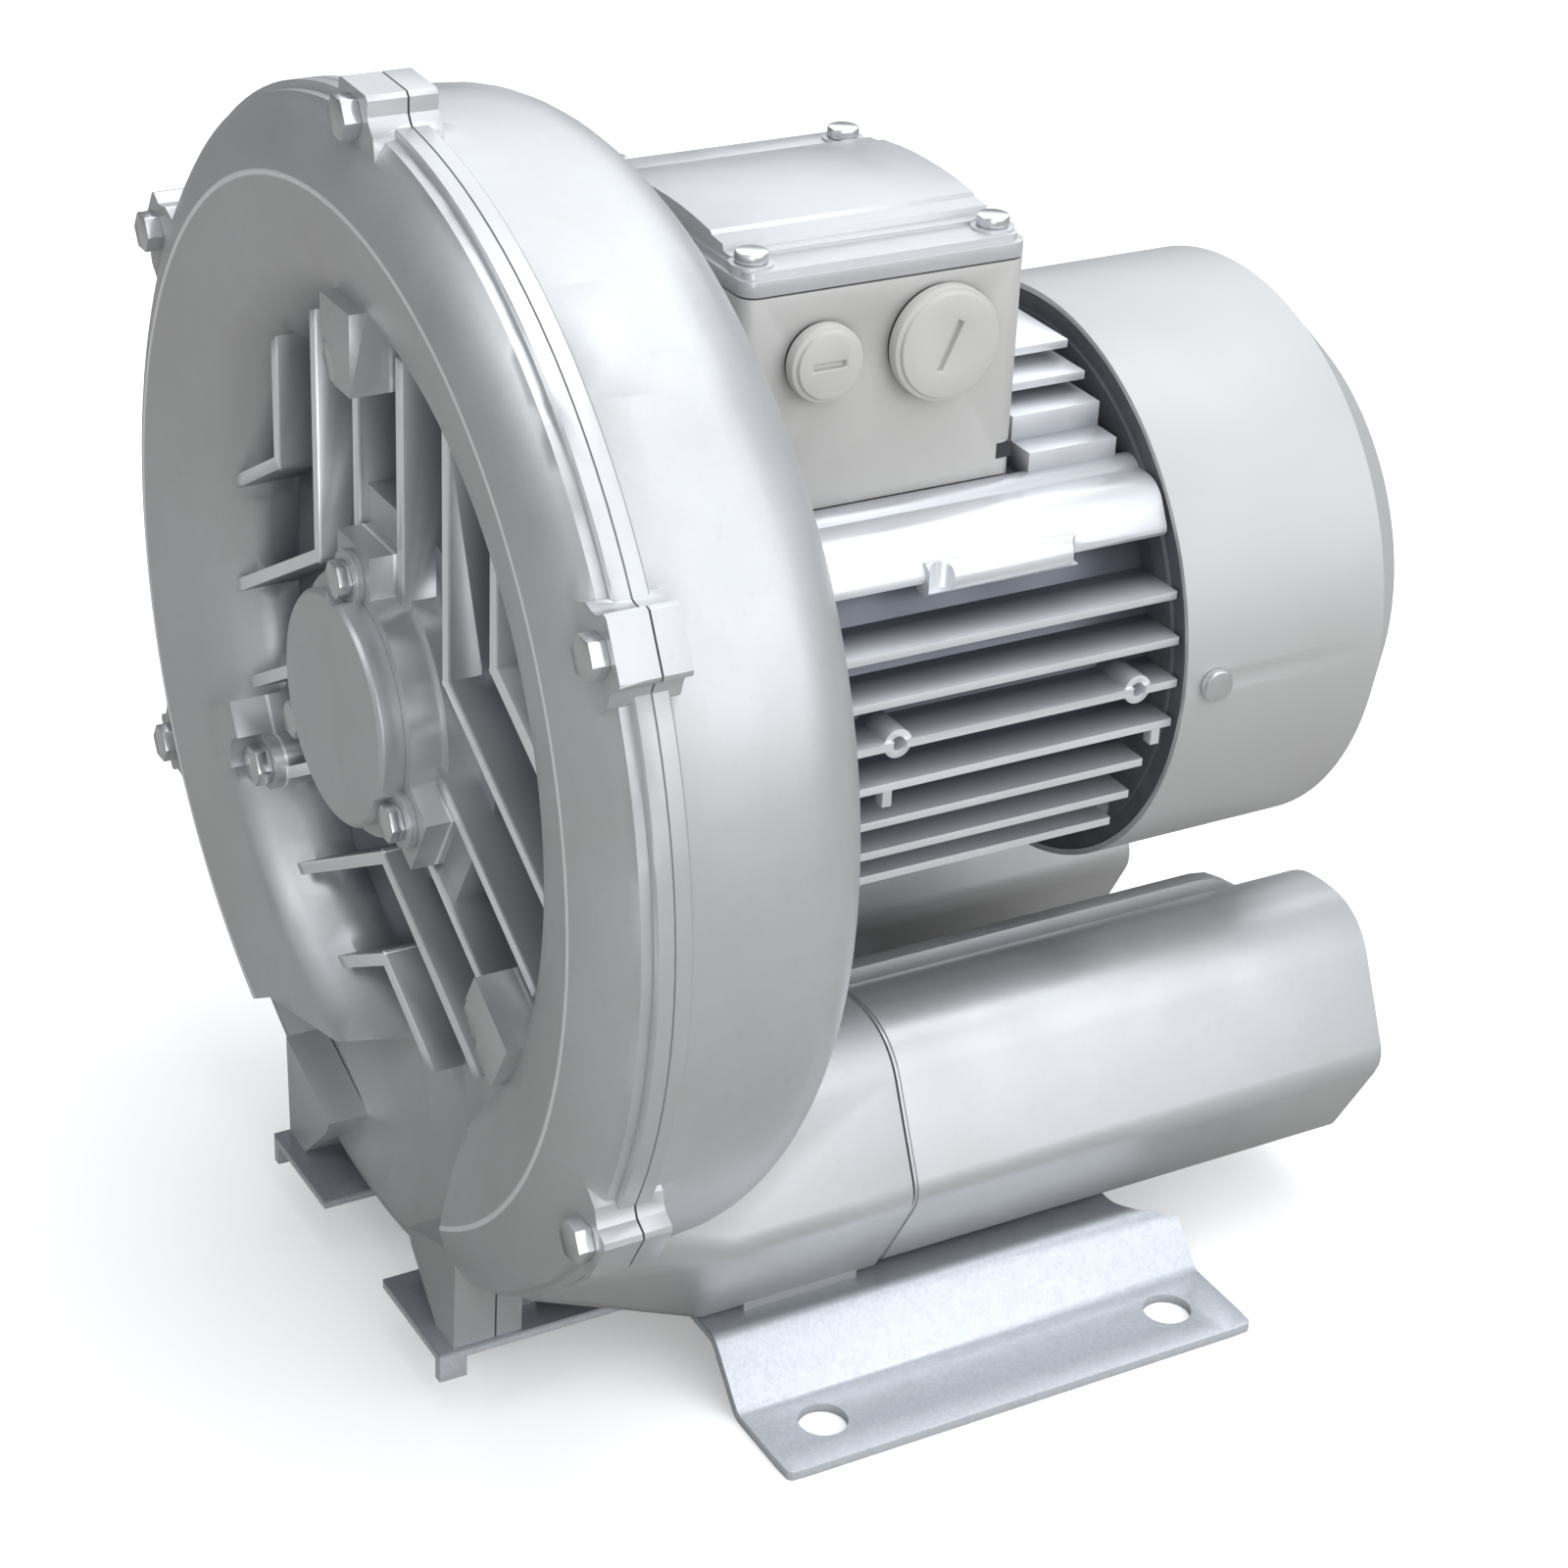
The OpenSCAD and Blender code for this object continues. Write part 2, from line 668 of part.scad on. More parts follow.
module rear_bearing_outer_ring() {
    color(steel) placed()
        outer_ring(rear_bearing_bore, rear_bearing_od, rear_bearing_y, rear_bearing_width);
}

module rear_bearing_inner_ring() {
    color(steel) placed()
        inner_ring(rear_bearing_bore, rear_bearing_od, rear_bearing_y, rear_bearing_width);
}

module wave_spring() {
    color(steel) placed() ring(front_bearing_od / 2 - 4, front_bearing_od / 2 - 0.5, spring_y, front_bearing_y + 0.4);
}

// The fins on both sides lie flat and end on one circle
module side_fins(first, last) {
    twin_flat() for (k = [first:last]) let (z = 0.8 + k * fin_pitch)
        translate([0, z - fin_thickness / 2]) square([sqrt(fin_r * fin_r - z * z), fin_thickness]);
}

// The broad round shoulders under the terminal box
module shoulders() {
    edge = [fin_r - 8.5, shoulder_base];
    brow = [fin_r - 15, box_skirt];
    twin_flat() polygon(concat(
        [[0, shoulder_base]],
        soft_corner([0, shoulder_base], edge, brow, 2, 3),
        soft_corner(edge, brow, [0, box_skirt], 8, 6),
        [[0, box_skirt]]
    ));
}

module twin_flat() {
    children();
    mirror([1, 0]) children();
}

// Behind the terminal box the frame climbs in steps, with two thin fins on top
module frame_steps() {
    twin_flat() {
        square([43, 53]);
        square([35, 59]);
        translate([0, 62]) square([28, fin_thickness]);
        translate([0, 67]) square([20, fin_thickness]);
        square([2.5, 68]);
    }
}

module motor_frame() {
    color(shadow_silver) placed() difference() {
        union() {
            disc(barrel_r, back_y, frame_end_y);
            along(back_y, frame_end_y) side_fins(-1, 2);
            along(back_y, frame_end_y - 5.5) side_fins(-4, -2);
            along(back_y, frame_end_y) shoulders();
            along(box_end_y + 3, frame_end_y - 4) frame_steps();
            along(back_y, frame_end_y) spread(tie_angles, tie_bolt_r) circle(5);
            // Half-round bars at the edge of each shoulder
            along(bar_y, bar_end_y) twin_flat() translate([fin_r - 11, shoulder_base + 1.5]) circle(4);
            // Eyes on the middle fins, with a hole that points outwards
            for (y = [back_y + 38, back_y + 103]) twin() translate([barrel_r - 2, y, axis_height + 0.8])
                rotate([0, 90, 0]) cylinder(r = 3.6, h = fin_r - barrel_r + 1);
            for (y = [back_y + 36, frame_end_y - 4]) twin()
                translate([fin_r - 4, y - 1.2, axis_height - 15]) cube([3, 2.4, 6]);
        }
        disc(barrel_bore_r, back_y - 1, frame_end_y + 1);
        for (a = tie_angles) bolt_hole(a, tie_bolt_r, back_y - 1, frame_end_y + 1, 2.8);
        for (y = [back_y + 38, back_y + 103]) twin() translate([fin_r - 5, y, axis_height + 0.8])
            rotate([0, 90, 0]) cylinder(r = 1.8, h = 6);
        // A round pocket at each end of the bars
        for (y = [bar_y + 3, bar_end_y + 1]) twin() translate([fin_r - 7, y, axis_height + shoulder_base - 1])
            cylinder(r = 3.2, h = 14);
        // Wires go up from the windings into the terminal box
        translate([0, box_y + 40, axis_height + barrel_r - 12]) cylinder(r = 7, h = 20);
    }
}

module stator_core() {
    color(steel) placed() difference() {
        disc(barrel_bore_r, core_y, core_end_y);
        disc(rotor_r + air_gap, core_y - 1, core_end_y + 1);
        along(core_y - 1, core_end_y + 1) for (a = [0:15:345]) rotate(a + 7.5)
            translate([rotor_r + air_gap + 2, -1.6]) square([9, 3.2]);
    }
}

// Copper in the slots, with an end winding on each side
module stator_windings() {
    inner = rotor_r + air_gap + 2;
    color(copper) placed() {
        ring(inner, inner + 10, core_y - 13, core_y);
        ring(inner, inner + 10, core_end_y, core_end_y + 13);
        along(core_y - 1, core_end_y + 1) for (a = [0:15:345]) rotate(a + 7.5)
            translate([inner + 0.2, -1.5]) square([8.6, 3]);
    }
}

module end_shield() {
    hub_r = rear_bearing_od / 2 + 6;
    color(cast_silver) placed() difference() {
        union() {
            disc(shield_r - 4, frame_end_y, shield_end_y);
            // The rim that carries the fan cover, with a boss at each screw
            ring(shield_r - 6, shield_r, fan_cover_y, fan_cover_y + 3);
            for (a = cover_screw_angles) along(frame_end_y + 2, cover_screw_y + 6) rotate(a)
                translate([shield_r - 9, -5]) square([8.6, 10]);
            disc(hub_r, frame_end_y - 2, rear_bearing_end_y + 2);
            along(frame_end_y, rear_bearing_end_y - 2) for (a = [0:45:315]) rotate(a + 22.5)
                translate([hub_r - 1, -1.5]) square([20, 3]);
            ring(barrel_bore_r - 5, barrel_bore_r - fit_gap, frame_end_y - 4, frame_end_y + 1);
        }
        disc(rear_bearing_od / 2, rear_bearing_y, rear_bearing_end_y + 3);
        disc(rear_bearing_od / 2 - 5, frame_end_y - 5, rear_bearing_y + 1);
        for (a = tie_angles) bolt_hole(a, tie_bolt_r, frame_end_y - 1, shield_end_y + 1, 2.8);
        for (a = cover_screw_angles) translate([0, cover_screw_y, axis_height]) rotate([0, -a, 0])
            translate([shield_r - 12, 0, 0]) rotate([0, 90, 0]) cylinder(r = 2.1, h = 14);
    }
}

// Long bolts from the end shield through the frame into the housing
module tie_bolts() {
    length = shield_end_y - back_y + 5;
    color(zinc) placed() for (a = tie_angles)
        translate([tie_bolt_r * cos(a), 0, axis_height + tie_bolt_r * sin(a)]) {
            translate([0, shield_end_y + 3.5, 0]) rotate([90, 0, 0]) cylinder(r = 4.3, h = 3.5, $fn = 6);
            translate([0, shield_end_y + 0.01, 0]) rotate([90, 0, 0]) cylinder(r = 2.5, h = length);
        }
}

module fan_cover_profile(inset) {
    r = fan_cover_r - inset;
    back = fan_cover_end_y - inset;
    front = fan_cover_y - inset;
    round_r = fan_cover_round - inset;
    polygon(concat(
        [[0, front], [r, front]],
        arc([r - round_r, back - round_r], round_r, 0, 90, 8),
        [[0, back]]
    ));
}

// Arc slots in rings, held by eight spokes
module air_slots() {
    difference() {
        for (r = [17:9:44]) difference() {
            circle(r + slot_width);
            circle(r);
        }
        for (a = [0:45:135]) rotate(a) translate([-60, -2.5]) square([120, 5]);
    }
}

module fan_cover() {
    color(cast_silver) placed() difference() {
        turned() fan_cover_profile(0);
        turned() fan_cover_profile(fan_cover_sheet);
        along(fan_cover_end_y - 4, fan_cover_end_y + 1) air_slots();
        for (a = cover_screw_angles) translate([0, cover_screw_y, axis_height]) rotate([0, -a, 0])
            translate([shield_r - 4, 0, 0]) rotate([0, 90, 0]) cylinder(r = 2.3, h = 10);
    }
}

module fan_cover_screws() {
    color(zinc) placed() for (a = cover_screw_angles)
        translate([0, cover_screw_y, axis_height]) rotate([0, -a, 0]) {
            translate([fan_cover_r, 0, 0]) rotate([0, 90, 0]) cylinder(r = 4, h = 2.4);
            translate([fan_cover_r - 9, 0, 0]) rotate([0, 90, 0]) cylinder(r = 2, h = 9.1);
        }
}

// A plan view of the terminal box with rounded upright corners
module box_plan(inset = 0) {
    w = box_width / 2 - inset;
    l = box_length / 2 - inset;
    r = 4 - min(inset, 2);
    polygon(concat(
        arc([w - r, l - r], r, 0, 90, 5), arc([r - w, l - r], r, 90, 180, 5),
        arc([r - w, r - l], r, 180, 270, 5), arc([w - r, r - l], r, 270, 360, 5)
    ));
}

module box_block(from, to, inset = 0) {
    translate([0, box_y + box_length / 2, axis_height + from]) linear_extrude(to - from) box_plan(inset);
}

module box_screw_places() {
    for (x = [-1, 1], y = [-1, 1])
        translate([x * (box_width / 2 - 7.5), box_y + box_length / 2 + y * (box_length / 2 - 5.5), axis_height])
            children();
}

module plug_place(y, level) {
    translate([plug_x, y, axis_height + level]) rotate([0, 90, 0]) children();
}

module terminal_box() {
    color(box_grey) placed() difference() {
        union() {
            difference() {
                box_block(box_skirt, box_rim);
                box_block(box_floor, box_rim + 1, box_wall);
            }
            intersection() {
                box_screw_places() translate([0, 0, box_floor - 1]) cylinder(r = 6, h = box_rim - box_floor + 1);
                box_block(box_skirt, box_rim);
            }
        }
        disc(barrel_r, box_y - 1, box_end_y + 1);
        // The shoulders of the frame and its bolt bosses stay clear of the skirt
        along(box_y - 1, box_end_y + 1) spread(tie_angles, tie_bolt_r) circle(5.3);
        plug_place(large_plug_y, plug_level) translate([0, 0, -box_wall - 3])
            cylinder(r = large_plug_diameter / 2 - 4, h = box_wall + 4);
        plug_place(small_plug_y, plug_level) translate([0, 0, -box_wall - 3])
            cylinder(r = small_plug_diameter / 2 - 3, h = box_wall + 4);
        translate([earth_x, earth_y, axis_height + box_floor - 5]) cylinder(r = 2 + thread_gap, h = 6);
        box_screw_places() translate([0, 0, box_rim - 11]) cylinder(r = 2 + thread_gap, h = 12);
        translate([0, box_y + 40, axis_height + barrel_r - 1]) cylinder(r = 7, h = 8);
        // A small square drain slot low on the rear edge of the plug side
        translate([box_width / 2 - 2, box_end_y - 5, axis_height + box_skirt + 5.5]) cube([3, 4.5, 4]);
    }
}

module terminal_box_seal() {
    color(rubber_black) placed() difference() {
        box_block(box_rim, box_rim + gasket_thickness, 0.5);
        box_block(box_rim - 1, box_rim + 1, box_wall);
    }
}

// The raised middle of the lid, with two long steps on each side and a low crown
module lid_crown() {
    half = box_width / 2 - 11;
    twin_flat() polygon([
        [0, lid_face - 1], [half, lid_face - 1], [half, lid_face + 0.8], [half - 3.5, lid_face + 0.9],
        [half - 4, lid_face + 2.4], [half - 9, lid_face + 2.8], [half - 10, lid_face + 3.6],
        [half - 18, lid_top - 0.5], [half - 24, lid_top - 0.1], [0, lid_top]
    ]);
}

module terminal_box_lid() {
    color(box_grey) placed() difference() {
        union() {
            box_block(lid_base, lid_face - 1.5);
            box_block(lid_face - 1.6, lid_face, 1.5);
            along(box_y + 2.5, box_end_y - 2.5) lid_crown();
            box_screw_places() translate([0, 0, lid_base]) cylinder(r = 5, h = lid_seat - lid_base);
        }
        difference() {
            box_block(lid_base - 1, lid_face - 2, box_wall);
            box_screw_places() translate([0, 0, lid_base - 1]) cylinder(r = 5, h = lid_depth);
        }
        along(box_y + 5, box_end_y - 5) translate([0, -2.6]) lid_crown();
        box_screw_places() translate([0, 0, lid_base - 1]) cylinder(r = 2.3, h = lid_depth + 4);
        box_screw_places() translate([0, 0, lid_seat]) cylinder(r = 4.6, h = lid_rise);
    }
}

module lid_screws() {
    color(zinc) placed() box_screw_places() {
        translate([0, 0, lid_seat]) cylinder(r = 3.8, h = 2.6);
        translate([0, 0, box_rim - 8]) cylinder(r = 2, h = lid_seat - box_rim + 8.1);
    }
}

module at_studs() {
    for (x = [-1:1], y = [-1, 1])
        translate([x * stud_pitch, terminal_y + terminal_depth / 2 + y * 4, axis_height + box_floor + 2])
            children();
}

module terminal_block() {
    color(rubber_black) placed() difference() {
        translate([-terminal_width / 2, terminal_y, axis_height + box_floor])
            cube([terminal_width, terminal_depth, terminal_height]);
        at_studs() cylinder(r = 2, h = terminal_height + 1);
    }
}

module terminal_studs() {
    color(brass) placed() at_studs() {
        cylinder(r = 2, h = terminal_height + 6);
        translate([0, 0, terminal_height - 2]) cylinder(r = 3.6, h = 3, $fn = 6);
    }
}

// A screw-in blanking plug with a driver slot across its face
module plug(radius, y, slot_turn) {
    neck = radius - (radius > 10 ? 4 : 3) - fit_gap;
    plug_place(y, plug_level) difference() {
        union() {
            translate([0, 0, 1.2]) cylinder(r = radius, h = 3.3);
            translate([0, 0, 4.4]) cylinder(r = radius - 1.2, h = 1.2);
            translate([0, 0, -box_wall - 2]) cylinder(r = neck, h = box_wall + 3.3);
        }
        rotate(slot_turn) translate([-radius * 0.45, -0.8, 4]) cube([radius * 0.9, 1.6, 3]);
    }
}

module large_blanking_plug() {
    color(plug_grey) placed() plug(large_plug_diameter / 2, large_plug_y, 25);
}

module small_blanking_plug() {
    color(plug_grey) placed() plug(small_plug_diameter / 2, small_plug_y, 90);
}

module plug_seals() {
    color(rubber_black) placed() for (p = [[large_plug_diameter / 2, large_plug_y, 4],
                                            [small_plug_diameter / 2, small_plug_y, 3]])
        plug_place(p[1], plug_level) difference() {
            cylinder(r = p[0] - 0.6, h = 1.2);
            translate([0, 0, -1]) cylinder(r = p[0] - p[2] - fit_gap, h = 4);
        }
}

module earth_screw() {
    color(brass) placed() translate([earth_x, earth_y, axis_height + box_floor]) {
        cylinder(r = 4, h = 3, $fn = 6);
        translate([0, 0, -4]) cylinder(r = 2, h = 4.1);
    }
}

// One silencer tube: a rounded box section with the liner's bore and the threaded port
module silencer_tube() {
    placed() difference() {
        translate([tube_x, 0, tube_axis]) {
            along_floor(tube_start_y, tube_start_y + 0.8) tube_section(-0.6);
            along_floor(tube_start_y + 0.7, tube_end_y - 1.5) tube_section();
            along_floor(tube_end_y - 1.6, tube_end_y) tube_section(-1);
            tube_rib();
        }
        translate([tube_x, 0, tube_axis]) {
            along_floor(tube_start_y - 1, tube_end_y - port_length) circle(liner_bore / 2);
            along_floor(tube_end_y - port_length - 1, tube_end_y + 1) circle(port_bore / 2);
            // A lead-in at the mouth of the thread
            translate([0, tube_end_y + 0.01, 0]) rotate([90, 0, 0])
                cylinder(r1 = port_bore / 2 + 1.5, r2 = port_bore / 2, h = 1.5);
        }
    }
}

// A rib along the inner shoulder of the tube, which runs out towards the rear end
module tube_rib() {
    top = tube_height / 2 - 0.5;
    low = tube_height / 2 - 13;
    translate([-tube_width / 2 * 0.62, 0, 0]) rotate([90, 0, 90]) linear_extrude(4) polygon([
        [tube_start_y + 0.8, low], [tube_start_y + 0.8, top], [tube_end_y - 30, top],
        [tube_end_y - 25, top - 0.8], [tube_end_y - 20, top - 3.5], [tube_end_y - 14, top - 7.5],
        [tube_end_y - 6, low]
    ]);
}

module silencer_liner() {
    placed() translate([tube_x, 0, tube_axis]) along_floor(liner_y, liner_end_y) difference() {
        circle(liner_bore / 2 - fit_gap);
        circle(liner_hole / 2);
    }
}

module silencer_tube_right() {
    color(cast_silver) silencer_tube();
}

module silencer_tube_left() {
    color(cast_silver) mirror([1, 0, 0]) silencer_tube();
}

module silencer_liner_right() {
    color(rubber_black) silencer_liner();
}

module silencer_liner_left() {
    color(rubber_black) mirror([1, 0, 0]) silencer_liner();
}

module silencer_gaskets() {
    color(rubber_black) placed() twin() translate([tube_x, 0, tube_axis])
        along_floor(socket_y, tube_start_y) difference() {
            tube_section(-1);
            circle(liner_bore / 2);
        }
}

// One foot: a sheet with a raised inner part under the castings and a flange on the floor
module foot_section() {
    slope = (foot_rise - foot_sheet) / (foot_bend - foot_shoulder);
    lean = foot_sheet * 0.5 * slope;
    under = [foot_shoulder, foot_rise - foot_sheet];
    over = [foot_shoulder + lean, foot_rise];
    toe_under = [foot_bend, 0];
    toe_over = [foot_bend + lean, foot_sheet];
    polygon(concat(
        [[foot_edge, 0]],
        soft_corner([foot_edge, 0], toe_under, under, foot_round + foot_sheet, 4),
        soft_corner(toe_under, under, [foot_inner, under[1]], foot_round, 4),
        [[foot_inner, foot_rise - foot_sheet], [foot_inner, foot_rise]],
        soft_corner([foot_inner, foot_rise], over, toe_over, foot_round + foot_sheet, 4),
        soft_corner(over, toe_over, [foot_edge, foot_sheet], foot_round, 4),
        [[foot_edge, foot_sheet]]
    ));
}

// Cuts the sheet along the rear edge: the upper flat stops early with a round notch beside the bend
module foot_trim() {
    corner = 7;
    translate([0, 0, -1]) linear_extrude(foot_rise + 2) {
        translate([foot_inner - 1, foot_end_y - 15]) square([foot_shoulder - foot_inner - 5, 16]);
        translate([foot_shoulder - 6, foot_end_y - 7]) circle(8);
        difference() {
            translate([foot_edge - corner, foot_start_y - 1]) square([corner + 1, corner + 1]);
            translate([foot_edge - corner, foot_start_y + corner]) circle(corner);
        }
        difference() {
            translate([foot_edge - corner, foot_end_y - corner]) square([corner + 1, corner + 1]);
            translate([foot_edge - corner, foot_end_y - corner]) circle(corner);
        }
    }
}

// A foot whose tongue reaches forward between the two distances from the middle
module foot(inner, outer) {
    difference() {
        union() {
            along_floor(foot_start_y, foot_end_y) foot_section();
            along_floor(foot_front_y, foot_start_y + 1) translate([inner, foot_rise - foot_sheet])
                square([outer - inner, foot_sheet]);
            // A short tab bends down at the front outer corner
            translate([outer - foot_sheet, foot_front_y, foot_rise - 8]) cube([foot_sheet, 7, 7]);
        }
        for (side = [-1, 1]) translate([foot_x, foot_mid_y + side * foot_spacing_y / 2, -1])
            cylinder(r = foot_hole / 2, h = foot_sheet + 2);
        translate([0, 0, foot_rise - foot_sheet - 1]) {
            translate([(inner + outer) / 2 + front_bolt_x - (tongue_inner + tongue_outer) / 2, front_bolt_y, 0])
                cylinder(r = 3.3, h = foot_sheet + 2);
            translate([tube_x, rear_bolt_y, 0]) cylinder(r = 3.3, h = foot_sheet + 2);
        }
        foot_trim();
    }
}

module foot_right() {
    color(zinc) placed() foot(tongue_inner + tongue_shift, tongue_outer + tongue_shift);
}

module foot_left() {
    color(zinc) placed() mirror([1, 0, 0]) foot(tongue_inner - tongue_shift, tongue_outer - tongue_shift);
}

// The bolts come up from under each foot
module foot_bolts() {
    color(zinc) placed() at_foot_bolts() translate([0, 0, foot_rise - foot_sheet]) {
        translate([0, 0, -4]) cylinder(r = 5.4, h = 4, $fn = 6);
        cylinder(r = 3, h = foot_sheet + 9);
    }
}

module shaft() {
    color(steel) placed() difference() {
        turned() polygon([
            [0, shaft_start_y], [journal_r - 1, shaft_start_y], [journal_r, shaft_start_y + 1],
            [journal_r, impeller_hub_y], [impeller_seat / 2, impeller_hub_y],
            [impeller_seat / 2, impeller_hub_end_y], [sleeve_r, impeller_hub_end_y],
            [sleeve_r, core_y - 20], [sleeve_r + 1, core_y - 20], [sleeve_r + 1, core_end_y + 20],
            [rear_bearing_bore / 2 + 2.5, core_end_y + 20], [rear_bearing_bore / 2 + 2.5, rear_bearing_y],
            [rear_bearing_bore / 2, rear_bearing_y], [rear_bearing_bore / 2, rear_bearing_end_y + 1],
            [fan_seat_r, rear_bearing_end_y + 1], [fan_seat_r, shaft_end_y - 1],
            [fan_seat_r - 1, shaft_end_y], [0, shaft_end_y]
        ]);
        ring(journal_r - 0.6, journal_r + 1, front_bearing_y - 1.2, front_bearing_y);
        ring(fan_seat_r - 0.6, fan_seat_r + 1, fan_y + 22, fan_y + 23.2);
        // The keyway for the impeller
        translate([-3, impeller_hub_y + 3, axis_height + impeller_seat / 2 - 3.5])
            cube([6, impeller_hub_end_y - impeller_hub_y - 6, 5]);
    }
}

// The impeller's blades and slots as one outline, so that one extrusion makes them all
module blade_outline() {
    root = channel_in_r + 3;
    half_tip = asin(blade_thickness / 2 / tip_r);
    half_root = asin(blade_thickness / 2 / root);
    step = 360 / blade_count;
    polygon([for (i = [0:blade_count - 1], c = [[root, -half_root], [tip_r, -half_tip], [tip_r, half_tip],
                                                [root, half_root]])
        let (a = i * step + c[1]) [c[0] * cos(a), c[0] * sin(a)]]);
}

module impeller() {
    rim_in = lip_r + 3;
    mid = (impeller_front_y + impeller_back_y) / 2;
    color(cast_silver) placed() difference() {
        union() {
            along(impeller_front_y, impeller_back_y) blade_outline();
            turned() polygon([
                [rim_in, impeller_front_y], [channel_in_r + 1, impeller_front_y],
                [channel_in_r + 6, mid - 4], [channel_in_r + 14, mid - 1], [tip_r - 2, mid - 0.8],
                [tip_r - 2, mid + 0.8], [channel_in_r + 14, mid + 1], [channel_in_r + 6, mid + 4],
                [channel_in_r + 1, impeller_back_y], [rim_in, impeller_back_y]
            ]);
            ring(20, rim_in + 1, web_y, web_y + web_thickness);
            disc(24, impeller_hub_y, impeller_hub_end_y);
        }
        disc(impeller_seat / 2, 0, back_y);
        disc(rim_in, impeller_front_y - 1, web_y);
        along(web_y - 1, web_y + web_thickness + 1) spread([0:60:300], 58) circle(8);
        ring(24, rim_in, web_y + web_thickness, back_y);
        translate([-3, impeller_hub_y - 1, axis_height + impeller_seat / 2 - 1])
            cube([6, impeller_hub_end_y - impeller_hub_y + 2, 3.5]);
    }
}

module impeller_key() {
    color(steel) placed() translate([-3, impeller_hub_y + 3.1, axis_height + impeller_seat / 2 - 3.5])
        cube([6, impeller_hub_end_y - impeller_hub_y - 6.2, 5.8]);
}

module spacer_sleeve() {
    color(steel) placed() ring(journal_r, sleeve_r, bearing_stop_y, impeller_hub_y);
}

module shaft_circlip() {
    color(steel) placed() difference() {
        ring(journal_r - 0.6, journal_r + 2.2, front_bearing_y - 1.2, front_bearing_y);
        along(front_bearing_y - 2, front_bearing_y + 1) translate([-2, 0]) square([4, 20]);
    }
}

module rotor_core() {
    color(steel) placed() ring(sleeve_r + 1, rotor_r, core_y, core_end_y);
}

// Cast rings at both ends of the rotor, with small blades that stir the air
module rotor_end_rings() {
    color(cast_silver) placed() for (end = [0, 1]) {
        from = end == 0 ? core_y - 7 : core_end_y;
        ring(rotor_r - 11, rotor_r - 1, from, from + 7);
        along(end == 0 ? from - 5 : from + 6, end == 0 ? from + 1 : from + 12)
            for (a = [0:45:315]) rotate(a) translate([rotor_r - 10, -1]) square([8, 2]);
    }
}

module cooling_fan() {
    color(rubber_black) placed() difference() {
        union() {
            disc(fan_seat_r * 1.6, fan_y, fan_y + 22);
            disc(fan_r, fan_y + 4, fan_y + 6.5);
            along(fan_y + 6, fan_y + 26) for (a = [0:45:315]) rotate(a)
                translate([fan_r / 3, -1.2]) square([fan_r * 2 / 3 - 2, 2.4]);
        }
        disc(fan_seat_r, fan_y - 1, fan_y + 23);
    }
}

module fan_clip() {
    color(steel) placed() difference() {
        ring(fan_seat_r - 0.6, fan_seat_r + 2, fan_y + 22, fan_y + 23.2);
        along(fan_y + 21, fan_y + 24) translate([-1.5, 0]) square([3, 12]);
    }
}

front_cover();
bearing_cap();
bearing_cap_screws();
boss_bolts();
joint_gasket();
joint_bolts();
blower_housing();
cover_seal_ring();
housing_seal_ring();
front_bearing_outer_ring();
wave_spring();
motor_frame();
stator_core();
stator_windings();
end_shield();
rear_bearing_outer_ring();
tie_bolts();
fan_cover();
fan_cover_screws();
terminal_box();
terminal_box_seal();
terminal_box_lid();
lid_screws();
terminal_block();
terminal_studs();
large_blanking_plug();
small_blanking_plug();
plug_seals();
earth_screw();
silencer_tube_right();
silencer_tube_left();
silencer_liner_right();
silencer_liner_left();
silencer_gaskets();
foot_right();
foot_left();
foot_bolts();
shaft();
impeller();
impeller_key();
spacer_sleeve();
front_bearing_inner_ring();
rear_bearing_inner_ring();
shaft_circlip();
rotor_core();
rotor_end_rings();
cooling_fan();
fan_clip();
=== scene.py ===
"""Side channel air blower: the looks of the castings, the motor, the terminal box, the tubes and the feet.

Everything is in metres, in the frame of the CAD model: +Z is up, the shaft runs along Y, the round
front cover faces -Y, and the floor is at Z = 0.
"""

import json
import math

import bmesh
import bpy
from mathutils import Matrix, Vector


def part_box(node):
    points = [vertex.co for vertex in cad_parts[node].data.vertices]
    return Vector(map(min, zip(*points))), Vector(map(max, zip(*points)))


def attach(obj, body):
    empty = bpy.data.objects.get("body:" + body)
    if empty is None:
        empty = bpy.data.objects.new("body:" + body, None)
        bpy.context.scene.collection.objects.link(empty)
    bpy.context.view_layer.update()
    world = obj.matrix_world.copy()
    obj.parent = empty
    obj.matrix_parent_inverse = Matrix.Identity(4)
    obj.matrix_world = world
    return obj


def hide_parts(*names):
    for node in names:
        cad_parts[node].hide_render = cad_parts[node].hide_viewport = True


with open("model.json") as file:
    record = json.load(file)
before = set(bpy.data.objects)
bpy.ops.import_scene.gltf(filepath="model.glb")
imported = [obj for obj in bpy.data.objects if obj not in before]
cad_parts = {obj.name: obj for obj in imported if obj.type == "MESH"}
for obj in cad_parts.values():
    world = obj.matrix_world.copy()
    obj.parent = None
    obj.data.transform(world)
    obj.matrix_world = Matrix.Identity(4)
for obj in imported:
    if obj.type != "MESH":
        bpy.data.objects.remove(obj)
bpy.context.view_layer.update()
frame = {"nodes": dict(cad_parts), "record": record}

MM = 0.001
HAIR = 0.01 * MM

# The photograph's viewpoint: degrees round, down and askew, and the camera's place
VIEW_TURN = 59.54
VIEW_TILT = 28.32
VIEW_ROLL = 2.74
VIEW_PLACE = (0.66729, -0.39978, 0.52931)
# In millimetres
LENS = 81.57
SENSOR = 36.0

SHAFT_HEIGHT = 0.1585

